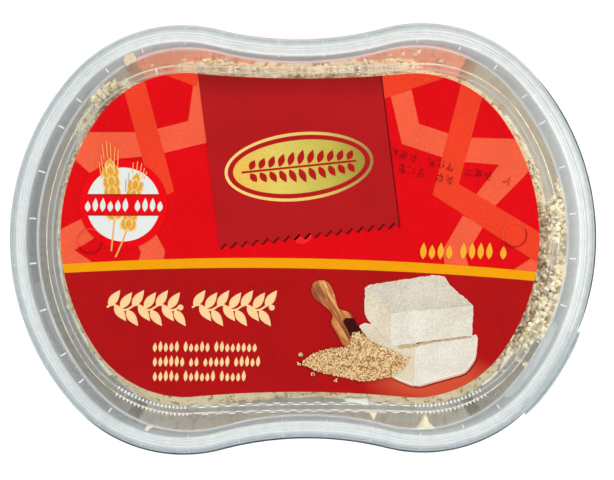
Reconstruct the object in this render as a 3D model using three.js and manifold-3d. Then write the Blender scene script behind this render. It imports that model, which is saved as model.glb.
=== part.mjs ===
// A closed tub of halva: a clear tub with a waist in each long side, a press-on clear lid with a printed
// plate, a printed label on each long wall, and the halva inside.
// Millimetres. +X runs along the tub, +Y across it, +Z up. The origin is the middle of the base.

import * as THREE from "three";
import { mergeVertices } from "three/addons/utils/BufferGeometryUtils.js";
import Module from "manifold-3d";

const wasm = await Module();
wasm.setup();

// Driving sizes of the outline. Each outline is three tangent arcs in every quarter: end, corner and waist.
const LID = { halfLength: 76.2, halfWidth: 55.9, halfWaist: 51.9, endRadius: 64.9, cornerRadius: 38.7 };
const FLOOR = { halfLength: 69.0, halfWidth: 49.9, halfWaist: 46.0, endRadius: 58.2, cornerRadius: 32.6 };
const BEAD = { halfLength: 66.2, halfWidth: 44.8, halfWaist: 43.7, endRadius: 56.4, cornerRadius: 31.0 };
const PRINT = { halfLength: 62.2, halfWidth: 42.1, halfWaist: 40.7, endRadius: 52.6, cornerRadius: 27.8 };

// Driving heights, above the surface the tub stands on.
const LID_TOP = 43;
const PANEL_TOP = 40;
const SKIRT_BOTTOM = 37.2;
const HALVA_TOP = 29.6;

// Thicknesses and gaps.
const LID_WALL = 0.9;
const TUB_WALL = 0.8;
const BASE_WALL = 0.9;
const GAP = 0.3;
const LABEL_THICKNESS = 0.25;
const LABEL_GAP = 0.03;
const PRINT_THICKNESS = 0.3;

// The tub's rim is a turned-down channel that sits in the lid's channel. Insets run inward from LID.
const RIM_TOP = LID_TOP - LID_WALL - GAP;
const RIM_OUTSIDE = 1.3;
const WALL_INSIDE_AT_RIM = 4.3;
const WALL_SLOPE = 0.2;
const BASE_ROUND = 2.4;

// The places of the printed plate, the ribs and the tear guard.
const PRINT_CENTRE = { x: -0.7, y: 0.9 };
const PRINT_TURN = THREE.MathUtils.degToRad(-0.6);
const RIB_COUNT = 36;
const RIB_WIDTH = 0.5;
const GUARD_FROM = 0.885;
const GUARD_TO = 0.943;
const GUARD_GAP = 0.4;
const GUARD_WALL = 0.8;
const GUARD_TOP = 41.6;
const GUARD_BRIDGES = 6;

const SIDE_LABEL_HALF_LENGTH = 46.3;
const SIDE_LABEL_TOP = 37.6;
const SIDE_LABEL_BOTTOM = 7;
const SIDE_LABEL_CORNER = 3;

const POINTS_PER_QUARTER = 20;
const POINTS = 4 * POINTS_PER_QUARTER;

// The centres, radii and turning angles of the three arcs in the first quarter.
function quarterArcs(outline) {
  const { halfLength, halfWidth, halfWaist, endRadius, cornerRadius } = outline;
  const endX = halfLength - endRadius;
  const cornerY = halfWidth - cornerRadius;
  const cornerX = endX + Math.sqrt((endRadius - cornerRadius) ** 2 - cornerY ** 2);
  const rise = halfWaist - cornerY;
  const waistRadius = (cornerX ** 2 + rise ** 2 - cornerRadius ** 2) / (2 * (cornerRadius - rise));
  const waistY = halfWaist + waistRadius;
  const endTurn = Math.atan2(cornerY, cornerX - endX);
  const cornerTurn = Math.atan2(waistY - cornerY, -cornerX);
  return [
    { x: endX, y: 0, radius: endRadius, from: 0, to: endTurn, side: 1 },
    { x: cornerX, y: cornerY, radius: cornerRadius, from: endTurn, to: cornerTurn, side: 1 },
    { x: 0, y: waistY, radius: waistRadius, from: cornerTurn, to: Math.PI / 2, side: -1 },
  ];
}

// The point and outward direction at a share, 0 to 1, of the first quarter's length, moved inward by inset.
function quarterPoint(outline, inset, share) {
  const arcs = quarterArcs(outline);
  const lengths = arcs.map((arc) => arc.radius * Math.abs(arc.to - arc.from));
  let left = share * lengths.reduce((sum, length) => sum + length, 0);
  let index = 0;
  while (index < 2 && left > lengths[index]) {
    left -= lengths[index];
    index += 1;
  }
  const arc = arcs[index];
  const turn = arc.from + ((arc.to - arc.from) * left) / lengths[index];
  const out = { x: Math.cos(turn), y: Math.sin(turn) };
  const reach = arc.side * arc.radius - inset;
  return { x: arc.x + reach * out.x, y: arc.y + reach * out.y, out };
}

// The same at a share of the whole outline, from the +X end round through +Y.
function outlinePoint(outline, inset, share) {
  const quarter = Math.floor(share * 4) % 4;
  const along = share * 4 - Math.floor(share * 4);
  const mirrored = quarter % 2 === 1;
  const point = quarterPoint(outline, inset, mirrored ? 1 - along : along);
  const signX = quarter === 0 || quarter === 3 ? 1 : -1;
  const signY = quarter < 2 ? 1 : -1;
  return {
    x: signX * point.x,
    y: signY * point.y,
    out: { x: signX * point.out.x, y: signY * point.out.y },
  };
}

// One closed level ring of POINTS vertices.
function ring(outline, inset, z) {
  const vertices = [];
  for (let i = 0; i < POINTS; i += 1) {
    const point = outlinePoint(outline, inset, i / POINTS);
    vertices.push([point.x, point.y, z]);
  }
  return vertices;
}

// A closed body through rings that run from the middle of the underside, outward, up and back to the
// middle of the top. Each end is closed by a fan about its own centre.
function bodyFromRings(rings) {
  const positions = rings.flat(2);
  const index = [];
  for (let level = 0; level + 1 < rings.length; level += 1) {
    for (let i = 0; i < POINTS; i += 1) {
      const next = (i + 1) % POINTS;
      const a = level * POINTS + i;
      const b = level * POINTS + next;
      const c = (level + 1) * POINTS + i;
      const d = (level + 1) * POINTS + next;
      index.push(a, b, d, a, d, c);
    }
  }
  closeEnd(positions, index, rings[0], 0, true);
  closeEnd(positions, index, rings.at(-1), (rings.length - 1) * POINTS, false);
  const geometry = new THREE.BufferGeometry();
  geometry.setAttribute("position", new THREE.Float32BufferAttribute(positions, 3));
  geometry.setIndex(index);
  return geometry;
}

function closeEnd(positions, index, vertices, first, facesDown) {
  const centre = positions.length / 3;
  const height = vertices.reduce((sum, vertex) => sum + vertex[2], 0) / POINTS;
  positions.push(0, 0, height);
  for (let i = 0; i < POINTS; i += 1) {
    const a = first + i;
    const b = first + ((i + 1) % POINTS);
    index.push(...(facesDown ? [centre, b, a] : [centre, a, b]));
  }
}

// manifold-3d solids and back.
function toSolid(geometry) {
  const bare = geometry.clone();
  bare.deleteAttribute("normal");
  bare.deleteAttribute("uv");
  const merged = mergeVertices(bare, 1e-4);
  const mesh = new wasm.Mesh({
    numProp: 3,
    vertProperties: new Float32Array(merged.attributes.position.array),
    triVerts: new Uint32Array(merged.index.array),
  });
  return new wasm.Manifold(mesh);
}

function toGeometry(solid) {
  const mesh = solid.getMesh();
  const geometry = new THREE.BufferGeometry();
  geometry.setAttribute("position", new THREE.BufferAttribute(mesh.vertProperties, 3));
  geometry.setIndex(new THREE.BufferAttribute(mesh.triVerts, 1));
  return geometry;
}

// A strip that follows LID between two shares of its length, from one inset to another, and from one height
// to another. ends, from 0 to 1, is how much of its inner side tapers away at each end.
function followingStrip({ from, to, outerInset, innerInset, bottom, top, ends = 0, steps = 10 }) {
  const outer = [];
  const inner = [];
  for (let i = 0; i <= steps; i += 1) {
    const share = from + ((to - from) * i) / steps;
    const fromEnd = Math.min(i, steps - i) / steps;
    const fullness = ends > 0 ? Math.sqrt(Math.min(1, (fromEnd + 0.02) / ends)) : 1;
    const inset = outerInset + (innerInset - outerInset) * fullness;
    outer.push(outlinePoint(LID, outerInset, share));
    inner.unshift(outlinePoint(LID, inset, share));
  }
  const corners = [...outer, ...inner].map((point) => new THREE.Vector2(point.x, point.y));
  const options = { depth: top - bottom, bevelEnabled: false };
  return new THREE.ExtrudeGeometry(new THREE.Shape(corners), options).translate(0, 0, bottom);
}

// The tub's inner wall at a height, as an inset from LID.
function wallInside(z) {
  return WALL_INSIDE_AT_RIM + (RIM_TOP - z) * WALL_SLOPE;
}

// The lid's underside, channel, rim, sunken panel and the bead round the print.
function lidShell() {
  const channelTop = LID_TOP - LID_WALL + 0.05;
  const panelBottom = PANEL_TOP - LID_WALL;
  return bodyFromRings([
    ring(FLOOR, 0.3, panelBottom),
    ring(FLOOR, -0.6, panelBottom + 0.5),
    ring(LID, 4.85, channelTop),
    ring(LID, 2.9, channelTop),
    ring(LID, 1.5, channelTop - 0.65),
    ring(LID, LID_WALL, channelTop - 2.1),
    ring(LID, LID_WALL, SKIRT_BOTTOM),
    ring(LID, 0, SKIRT_BOTTOM),
    ring(LID, 0, LID_TOP - 3.1),
    ring(LID, 0.4, LID_TOP - 1.7),
    ring(LID, 1.3, LID_TOP - 0.6),
    ring(LID, 2.6, LID_TOP),
    ring(LID, 5.0, LID_TOP),
    ring(LID, 5.5, LID_TOP - 0.5),
    ring(FLOOR, 0, PANEL_TOP),
    ring(BEAD, -1.05, PANEL_TOP),
    ring(BEAD, -0.5, PANEL_TOP + 0.7),
    ring(BEAD, 0.5, PANEL_TOP + 0.7),
    ring(BEAD, 1.05, PANEL_TOP),
  ]);
}

// A short upright rib in the corner between the rim's inner wall and the sunken panel.
function lidRib(share) {
  const top = outlinePoint(LID, 5.1, share);
  const foot = outlinePoint(FLOOR, 0.15, share);
  const length = Math.hypot(foot.x - top.x, foot.y - top.y);
  const height = LID_TOP - 0.6 - (PANEL_TOP - 0.4);
  const rib = new THREE.BoxGeometry(length, RIB_WIDTH, height);
  rib.rotateZ(Math.atan2(top.y - foot.y, top.x - foot.x));
  return rib.translate((top.x + foot.x) / 2, (top.y + foot.y) / 2, PANEL_TOP - 0.4 + height / 2);
}

function lidGeometry() {
  let solid = toSolid(lidShell());
  for (let i = 0; i < RIB_COUNT; i += 1) {
    const share = (i + 0.5) / RIB_COUNT;
    const underPad = share > GUARD_FROM - 0.01 && share < GUARD_TO + 0.01;
    if (!underPad) {
      solid = solid.add(toSolid(lidRib(share)));
    }
  }
  const thumbPad = followingStrip({
    from: GUARD_FROM,
    to: GUARD_TO,
    outerInset: 4.95,
    innerInset: 7.4,
    bottom: PANEL_TOP - 0.4,
    top: LID_TOP - 0.8,
    ends: 0.3,
  });
  return toGeometry(solid.add(toSolid(thumbPad)));
}

// The tub: flat base with a rounded edge, leaning wall and a turned-down rim.
function tubShell() {
  const insideFoot = wallInside(BASE_WALL + BASE_ROUND);
  return bodyFromRings([
    ring(LID, insideFoot + 1.4, 0),
    ring(LID, insideFoot - 0.1, 0.7),
    ring(LID, wallInside(BASE_ROUND) - TUB_WALL, BASE_ROUND),
    ring(LID, wallInside(RIM_TOP - TUB_WALL) - TUB_WALL, RIM_TOP - TUB_WALL),
    ring(LID, RIM_OUTSIDE + TUB_WALL, RIM_TOP - TUB_WALL),
    ring(LID, RIM_OUTSIDE + TUB_WALL, SKIRT_BOTTOM + 0.2),
    ring(LID, RIM_OUTSIDE, SKIRT_BOTTOM + 0.2),
    ring(LID, RIM_OUTSIDE, RIM_TOP - 1.7),
    ring(LID, RIM_OUTSIDE + 0.6, RIM_TOP - 0.5),
    ring(LID, RIM_OUTSIDE + 1.6, RIM_TOP),
    ring(LID, WALL_INSIDE_AT_RIM - 0.4, RIM_TOP),
    ring(LID, WALL_INSIDE_AT_RIM + 0.08, RIM_TOP - 0.4),
    ring(LID, insideFoot, BASE_WALL + BASE_ROUND),
    ring(LID, insideFoot + 0.7, BASE_WALL + 0.7),
    ring(LID, insideFoot + 2.2, BASE_WALL),
  ]);
}

// The tear guard stands in front of the lid's edge on a ledge from the rim, and bridges tie its foot to it.
function tubGeometry() {
  const ledgeTop = SKIRT_BOTTOM - GAP;
  const strips = [
    { from: GUARD_FROM, to: GUARD_TO, outerInset: -GUARD_GAP, innerInset: RIM_OUTSIDE + TUB_WALL,
      bottom: ledgeTop - 0.8, top: ledgeTop },
    { from: GUARD_FROM, to: GUARD_TO, outerInset: RIM_OUTSIDE, innerInset: RIM_OUTSIDE + TUB_WALL,
      bottom: ledgeTop - 0.1, top: SKIRT_BOTTOM + 0.4 },
    { from: GUARD_FROM, to: GUARD_TO, outerInset: -GUARD_GAP - GUARD_WALL, innerInset: -GUARD_GAP - 0.1,
      bottom: ledgeTop - 0.3, top: GUARD_TOP },
  ];
  let solid = toSolid(tubShell());
  for (const strip of strips) {
    solid = solid.add(toSolid(followingStrip(strip)));
  }
  const pitch = (GUARD_TO - GUARD_FROM) / GUARD_BRIDGES;
  for (let i = 0; i < GUARD_BRIDGES; i += 1) {
    const bridge = {
      from: GUARD_FROM + (i + 0.4) * pitch,
      to: GUARD_FROM + (i + 0.6) * pitch,
      outerInset: -GUARD_GAP - 0.4,
      innerInset: -GUARD_GAP + 0.3,
      bottom: ledgeTop - 0.6,
      top: ledgeTop - 0.1,
      steps: 1,
    };
    solid = solid.add(toSolid(followingStrip(bridge)));
  }
  return toGeometry(solid);
}

// How far the halva's broken top stands above or below its mean level.
function crumbliness(x, y) {
  const broad = Math.sin(x * 0.11 + 0.6) * Math.cos(y * 0.13 - 0.4);
  const middle = Math.sin(x * 0.31 + y * 0.17) * Math.cos(y * 0.37 - x * 0.12 + 1.1);
  const fine = Math.sin(x * 0.93 - y * 0.71 + 2.0) * Math.sin(y * 1.13 + x * 0.41);
  return 0.55 * broad + 0.4 * middle + 0.25 * fine;
}

function roughened(vertices, share) {
  return vertices.map(([x, y, z]) => [x, y, z + share * crumbliness(x, y)]);
}

// A level ring drawn in towards the middle of another one.
function drawnIn(outline, inset, z, share) {
  return ring(outline, inset, z).map(([x, y, height]) => [x * share, y * share, height]);
}

function halvaGeometry() {
  const foot = wallInside(BASE_WALL + BASE_ROUND) + GAP;
  const edge = wallInside(HALVA_TOP - 0.9) + GAP;
  const rings = [
    ring(LID, foot + 2.2, BASE_WALL + GAP),
    ring(LID, foot + 0.7, BASE_WALL + GAP + 0.7),
    ring(LID, foot, BASE_WALL + GAP + BASE_ROUND),
    ring(LID, edge, HALVA_TOP - 0.9),
    roughened(ring(LID, edge + 0.9, HALVA_TOP), 0.7),
  ];
  const topRings = 7;
  for (let i = 1; i < topRings; i += 1) {
    rings.push(roughened(drawnIn(LID, edge + 0.9, HALVA_TOP, 1 - i / topRings), 1));
  }
  return bodyFromRings(rings);
}

// The printed plate is bonded to the sunken panel, a little off its centre and a little turned.
function printGeometry() {
  const corners = [];
  for (let i = 0; i < POINTS; i += 1) {
    const point = outlinePoint(PRINT, 0, i / POINTS);
    corners.push(new THREE.Vector2(point.x, point.y));
  }
  const options = { depth: PRINT_THICKNESS, bevelEnabled: false };
  const plate = new THREE.ExtrudeGeometry(new THREE.Shape(corners), options);
  plate.rotateZ(PRINT_TURN);
  return plate.translate(PRINT_CENTRE.x, PRINT_CENTRE.y, PANEL_TOP);
}

// A thin sheet on the outside of one long wall, with clipped corners. The wall is on the +Y side.
function sideLabelGeometry() {
  const columns = [];
  for (let i = 0; i <= POINTS / 2; i += 1) {
    const point = outlinePoint(LID, 0, i / POINTS);
    if (Math.abs(point.x) < SIDE_LABEL_HALF_LENGTH + 3) {
      columns.push(i);
    }
  }
  const last = columns.length - 1;
  const strips = columns.map((column, k) => {
    const clip = k === 0 || k === last ? SIDE_LABEL_CORNER : 0;
    const levels = [SIDE_LABEL_BOTTOM + clip, SIDE_LABEL_TOP - clip];
    return levels.map((z) => {
      const wall = wallInside(z) - TUB_WALL - LABEL_GAP;
      const inner = outlinePoint(LID, wall, column / POINTS);
      const outer = outlinePoint(LID, wall - LABEL_THICKNESS, column / POINTS);
      return { inner: [inner.x, inner.y, z], outer: [outer.x, outer.y, z] };
    });
  });
  const positions = strips.flatMap(([low, high]) => [low.inner, high.inner, low.outer, high.outer]).flat();
  const index = [];
  const quad = (a, b, c, d) => index.push(a, b, c, a, c, d);
  for (let k = 0; k < last; k += 1) {
    const [lowIn, highIn, lowOut, highOut] = [0, 1, 2, 3].map((n) => 4 * k + n);
    const [lowIn2, highIn2, lowOut2, highOut2] = [4, 5, 6, 7].map((n) => 4 * k + n);
    quad(lowIn, highIn, highIn2, lowIn2);
    quad(lowOut, lowOut2, highOut2, highOut);
    quad(highIn, highOut, highOut2, highIn2);
    quad(lowIn, lowIn2, lowOut2, lowOut);
  }
  quad(0, 2, 3, 1);
  const end = 4 * last;
  quad(end, end + 1, end + 3, end + 2);
  const geometry = new THREE.BufferGeometry();
  geometry.setAttribute("position", new THREE.Float32BufferAttribute(positions, 3));
  geometry.setIndex(index);
  return geometry;
}

function addPiece(group, name, geometry, color, roughness) {
  const material = new THREE.MeshStandardMaterial({ color, roughness, metalness: 0 });
  const mesh = new THREE.Mesh(geometry, material);
  mesh.name = name;
  group.add(mesh);
  return mesh;
}

const tubOfHalva = new THREE.Group();
addPiece(tubOfHalva, "tub", tubGeometry(), 0xc9d4d8, 0.25);
addPiece(tubOfHalva, "halva", halvaGeometry(), 0xd9bf94, 0.85);
addPiece(tubOfHalva, "lid", lidGeometry(), 0xc4d2d8, 0.25);
addPiece(tubOfHalva, "lid_print", printGeometry(), 0xd4161f, 0.35);
addPiece(tubOfHalva, "side_label_back", sideLabelGeometry(), 0xd8291f, 0.35);
const frontLabel = addPiece(tubOfHalva, "side_label_front", sideLabelGeometry(), 0xb9b2ae, 0.35);
frontLabel.rotation.z = Math.PI;

export default tubOfHalva;
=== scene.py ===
"""A closed tub of sesame halva: clear polypropylene tub and press-on lid, a printed plate on the lid, a
printed film on each long wall, and the crumbly halva inside. Sizes are in millimetres until a mesh is
made."""

import math
import random

import bmesh
import bpy
import numpy as np
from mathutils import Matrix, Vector, noise
from mathutils.geometry import delaunay_2d_cdt


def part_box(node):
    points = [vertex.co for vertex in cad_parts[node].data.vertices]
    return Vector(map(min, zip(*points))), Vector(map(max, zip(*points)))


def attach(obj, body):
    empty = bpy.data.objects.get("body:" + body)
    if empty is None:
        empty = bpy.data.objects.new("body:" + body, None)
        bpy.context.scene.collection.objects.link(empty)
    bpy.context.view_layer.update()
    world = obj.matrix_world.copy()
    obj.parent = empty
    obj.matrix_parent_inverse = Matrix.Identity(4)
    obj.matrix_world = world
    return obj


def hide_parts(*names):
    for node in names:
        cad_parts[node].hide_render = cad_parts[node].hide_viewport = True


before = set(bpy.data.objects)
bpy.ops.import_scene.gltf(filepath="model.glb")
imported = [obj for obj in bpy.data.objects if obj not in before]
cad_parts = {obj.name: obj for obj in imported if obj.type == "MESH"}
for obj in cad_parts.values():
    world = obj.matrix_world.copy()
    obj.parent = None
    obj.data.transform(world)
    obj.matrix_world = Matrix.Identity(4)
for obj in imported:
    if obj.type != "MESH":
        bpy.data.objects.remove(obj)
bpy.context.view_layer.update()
scene = bpy.context.scene
MM = 0.001

# ---------------------------------------------------------------- sizes
# Outlines of three tangent arcs in every quarter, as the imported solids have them.
LID = {"length": 76.2, "width": 55.85, "waist": 51.9, "end": 64.9, "corner": 38.7}
FLOOR = {"length": 69.0, "width": 49.9, "waist": 46.0, "end": 58.2, "corner": 32.6}
BEAD = {"length": 65.8, "width": 44.5, "waist": 43.8, "end": 56.0, "corner": 30.7}
PLATE = {"length": 62.2, "width": 42.1, "waist": 40.7, "end": 52.6, "corner": 27.8}

LID_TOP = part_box("lid")[1].z / MM
SKIRT_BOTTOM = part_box("lid")[0].z / MM
PANEL_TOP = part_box("lid_print")[0].z / MM
PLATE_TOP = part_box("lid_print")[1].z / MM
RIM_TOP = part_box("tub")[1].z / MM
HALVA_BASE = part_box("halva")[0].z / MM
HALVA_TOP = 29.6
LID_WALL, TUB_WALL, BASE_WALL = 0.9, 0.8, 0.9
WALL_AT_RIM, WALL_LEAN = 4.3, 0.2
BASE_ROUND = 2.4
RIM_OUTSIDE = 1.3
PLATE_CENTRE = (-0.7, 0.9)
PLATE_TURN = math.radians(-0.6)
GUARD_FROM, GUARD_TO = 0.885, 0.943
RIB_SHIFTS = (0.6, 3.6, 7.2, 0.0, 0.0, 0.0, 1.5, 3.9, 1.5)  # from even spacing, thousandths of the outline

LABEL_HALF, LABEL_LOW, LABEL_HIGH, LABEL_CORNER = 46.3, 7.0, 37.6, 3.0
LABEL_THICKNESS, LABEL_GAP = 0.25, 0.03

LID_AROUND = 351.0  # the length of the lid's outline
AROUND = 720  # columns round the smooth shells
HALVA_AROUND = 640  # columns round the halva
CLEARANCE = 0.02  # what stands on the lid stays this far below its top


def wall_inside(z):
    """How far the tub's inner wall lies inside the lid's outline at a height."""
    return WALL_AT_RIM + (RIM_TOP - z) * WALL_LEAN


# ---------------------------------------------------------------- camera
LID_DISTANCE = 380.0
FRAME_WIDTH = 159.6
camera_data = bpy.data.cameras.new("camera")
camera_data.lens = camera_data.sensor_width * LID_DISTANCE / FRAME_WIDTH
camera = bpy.data.objects.new("camera", camera_data)
camera.location = (1.1 * MM, -0.36 * MM, (PANEL_TOP + LID_DISTANCE) * MM)
camera.rotation_euler = (0, 0, math.radians(-0.5))
camera_data.clip_start, camera_data.clip_end = 0.01, 10
scene.collection.objects.link(camera)
scene.camera = camera


# ---------------------------------------------------------------- outlines and rings
def linear(hex_colour, alpha=1.0):
    """The linear colour of an sRGB hex value."""
    channels = [int(hex_colour[i:i + 2], 16) / 255 for i in (0, 2, 4)]
    return tuple(c / 12.92 if c <= 0.04045 else ((c + 0.055) / 1.055) ** 2.4 for c in channels) + (alpha,)


def grey(level):
    """The linear value of an sRGB level from 0 to 255."""
    return linear(f"{round(level):02X}" * 3)[0]


def tone(level):
    """The linear value of one or many sRGB levels."""
    return np.interp(level, np.arange(256), GREYS)


GREYS = [grey(level) for level in range(256)]


def quarter_arcs(outline):
    """Centre, radius, first and last turn and sense of the three arcs from the +X end to the waist."""
    end_x = outline["length"] - outline["end"]
    corner_y = outline["width"] - outline["corner"]
    corner_x = end_x + math.sqrt((outline["end"] - outline["corner"]) ** 2 - corner_y**2)
    rise = outline["waist"] - corner_y
    waist = (corner_x**2 + rise**2 - outline["corner"] ** 2) / (2 * (outline["corner"] - rise))
    waist_y = outline["waist"] + waist
    end_turn = math.atan2(corner_y, corner_x - end_x)
    corner_turn = math.atan2(waist_y - corner_y, -corner_x)
    return np.array([
        (end_x, 0, outline["end"], 0, end_turn, 1),
        (corner_x, corner_y, outline["corner"], end_turn, corner_turn, 1),
        (0, waist_y, waist, corner_turn, math.pi / 2, -1),
    ])


def outline_points(outline, inset, shares):
    """Points and outward directions at shares of the outline's length, from the +X end round by +Y."""
    shares = np.mod(np.asarray(shares, float), 1.0)
    quarter = np.minimum((shares * 4).astype(int), 3)
    along = shares * 4 - quarter
    along = np.where(quarter % 2 == 1, 1 - along, along)
    sign = np.stack([np.where((quarter == 0) | (quarter == 3), 1, -1), np.where(quarter < 2, 1, -1)], 1)
    arcs = quarter_arcs(outline)
    lengths = arcs[:, 2] * np.abs(arcs[:, 4] - arcs[:, 3])
    edges = np.concatenate([[0], np.cumsum(lengths)])
    left = along * edges[-1]
    which = np.clip(np.searchsorted(edges, left, side="right") - 1, 0, 2)
    arc = arcs[which]
    turn = arc[:, 3] + (arc[:, 4] - arc[:, 3]) * (left - edges[which]) / lengths[which]
    out = np.stack([np.cos(turn), np.sin(turn)], 1)
    reach = arc[:, 5] * arc[:, 2] - inset
    return (arc[:, :2] + reach[:, None] * out) * sign, out * sign


def evenly(outline, inset, count):
    """Points at even shares round an outline."""
    return outline_points(outline, inset, np.arange(count) / count)[0]


def at_height(xy, z):
    """Flat points with one height, or a height each."""
    return np.column_stack([xy, np.broadcast_to(z, (len(xy),))])


def ring(outline, inset, z, haze=0.0, level=200, count=AROUND):
    """A ring of points, each with its haze and the grey, as an sRGB level, that the haze has."""
    columns = [np.broadcast_to(value, (count,)) for value in (z, haze, tone(level))]
    return np.column_stack([evenly(outline, inset, count), *columns])


def share_at(outline, x, side):
    """The share of an outline's length at an x on its +Y side (1) or its -Y side (-1)."""
    shares = np.linspace(0.0, 0.5, 721)
    xy, _ = outline_points(outline, 0.0, shares)
    share = np.interp(-np.asarray(x, float), -xy[:, 0], shares)
    return share if side > 0 else 1.0 - share


def rounded(rings, radii, steps=4):
    """The same rings with each inner one replaced by a curve that cuts its corner at its radius."""
    made = [rings[0]]
    for before, here, after, radius in zip(rings, rings[1:], rings[2:], radii[1:-1]):
        if radius <= 0:
            made.append(here)
            continue
        back, forth = before - here, after - here
        back_length = np.linalg.norm(back[:, :3], axis=1, keepdims=True)
        forth_length = np.linalg.norm(forth[:, :3], axis=1, keepdims=True)
        start = here + back * np.minimum(radius / back_length, 0.49)
        stop = here + forth * np.minimum(radius / forth_length, 0.49)
        for t in np.linspace(0, 1, steps + 1):
            made.append((1 - t) ** 2 * start + 2 * t * (1 - t) * here + t**2 * stop)
    made.append(rings[-1])
    return made


# ---------------------------------------------------------------- meshes
def finish_piece(piece, replaces=()):
    """Every piece rides on the one body, and hides the nodes that it replaces."""
    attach(piece, "root")
    if replaces:
        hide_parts(*replaces)
    return piece


def mesh_object(name, vertices, faces, materials, sharp=35, face_materials=None):
    """A smooth-shaded piece from corners in millimetres, with edges sharper than an angle kept sharp."""
    mesh = bpy.data.meshes.new(name)
    mesh.from_pydata((np.asarray(vertices) * MM).tolist(), [], faces)
    for material in materials:
        mesh.materials.append(material)
    if face_materials is not None:
        mesh.polygons.foreach_set("material_index", np.asarray(face_materials, np.int32))
    mesh.shade_smooth()
    mesh.set_sharp_from_angle(angle=math.radians(sharp))
    mesh.validate()
    piece = bpy.data.objects.new(name, mesh)
    scene.collection.objects.link(piece)
    return piece


def ring_faces(levels, count):
    """Faces between successive rings, and a fan at each end about the two centres that follow them."""
    faces = []
    for level in range(levels - 1):
        base = level * count
        for i in range(count):
            j = (i + 1) % count
            faces.append((base + i, base + j, base + count + j, base + count + i))
    low, high, last = levels * count, levels * count + 1, (levels - 1) * count
    for i in range(count):
        j = (i + 1) % count
        faces.append((low, j, i))
        faces.append((high, last + i, last + j))
    return faces


def add_values(piece, **values):
    """Named numbers on a piece's points, for its material and for what grows on it."""
    for name, numbers in values.items():
        attribute = piece.data.attributes.new(name, "FLOAT", "POINT")
        attribute.data.foreach_set("value", np.asarray(numbers, np.float32))


def ring_body(name, rings, materials, sharp=35):
    """A closed body through rings from the middle of its underside, outward, up and back to its middle."""
    count = len(rings[0])
    centres = [rings[0].mean(axis=0), rings[-1].mean(axis=0)]
    for centre in centres:
        centre[:2] = 0
    points = np.concatenate([*rings, centres])
    piece = mesh_object(name, points[:, :3], ring_faces(len(rings), count), materials, sharp)
    add_values(piece, haze=points[:, 3], tone=points[:, 4])
    return piece


# ---------------------------------------------------------------- materials
def add_node(tree, kind, sockets=(), out=0, stops=(), **settings):
    """A node of that kind with its settings, its inputs set or linked by place or by name, and the colours
    along its ramp. Gives the output asked for."""
    node = tree.nodes.new(kind if "Node" in kind else "ShaderNode" + kind)
    for key, value in settings.items():
        setattr(node, key, value)
    for key, value in sockets.items() if isinstance(sockets, dict) else enumerate(sockets):
        if isinstance(value, bpy.types.NodeSocket):
            tree.links.new(value, node.inputs[key])
        else:
            node.inputs[key].default_value = value
    if stops:
        elements = node.color_ramp.elements
        while len(elements) < len(stops):
            elements.new(0.5)
        for element, (position, hex_colour) in zip(elements, stops):
            element.position = position
            element.color = linear(hex_colour)
    return node.outputs[out] if node.outputs else node


# How a Mix node lays one colour over another, and how it multiplies them.
OVER = {"data_type": "RGBA"}
TIMES = {"data_type": "RGBA", "blend_type": "MULTIPLY"}


def new_material(name):
    """An empty material with its tree and the object's own coordinates."""
    material = bpy.data.materials.new(name)
    material.use_nodes = True
    material.node_tree.nodes.clear()
    return material, material.node_tree, add_node(material.node_tree, "TexCoord", out="Object")


def uneven(tree, place, size, spread=(0.0, 1.0), detail=2.0, roughness=0.6):
    """Soft uneven patches of a size in millimetres. The spread is the noise's range, then, where it isn't
    0 to 1, the range that it becomes."""
    patches = add_node(tree, "TexNoise", {
        "Vector": place, "Scale": 1 / (size * MM), "Detail": detail, "Roughness": roughness})
    return add_node(tree, "MapRange", [patches, *spread])


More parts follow.
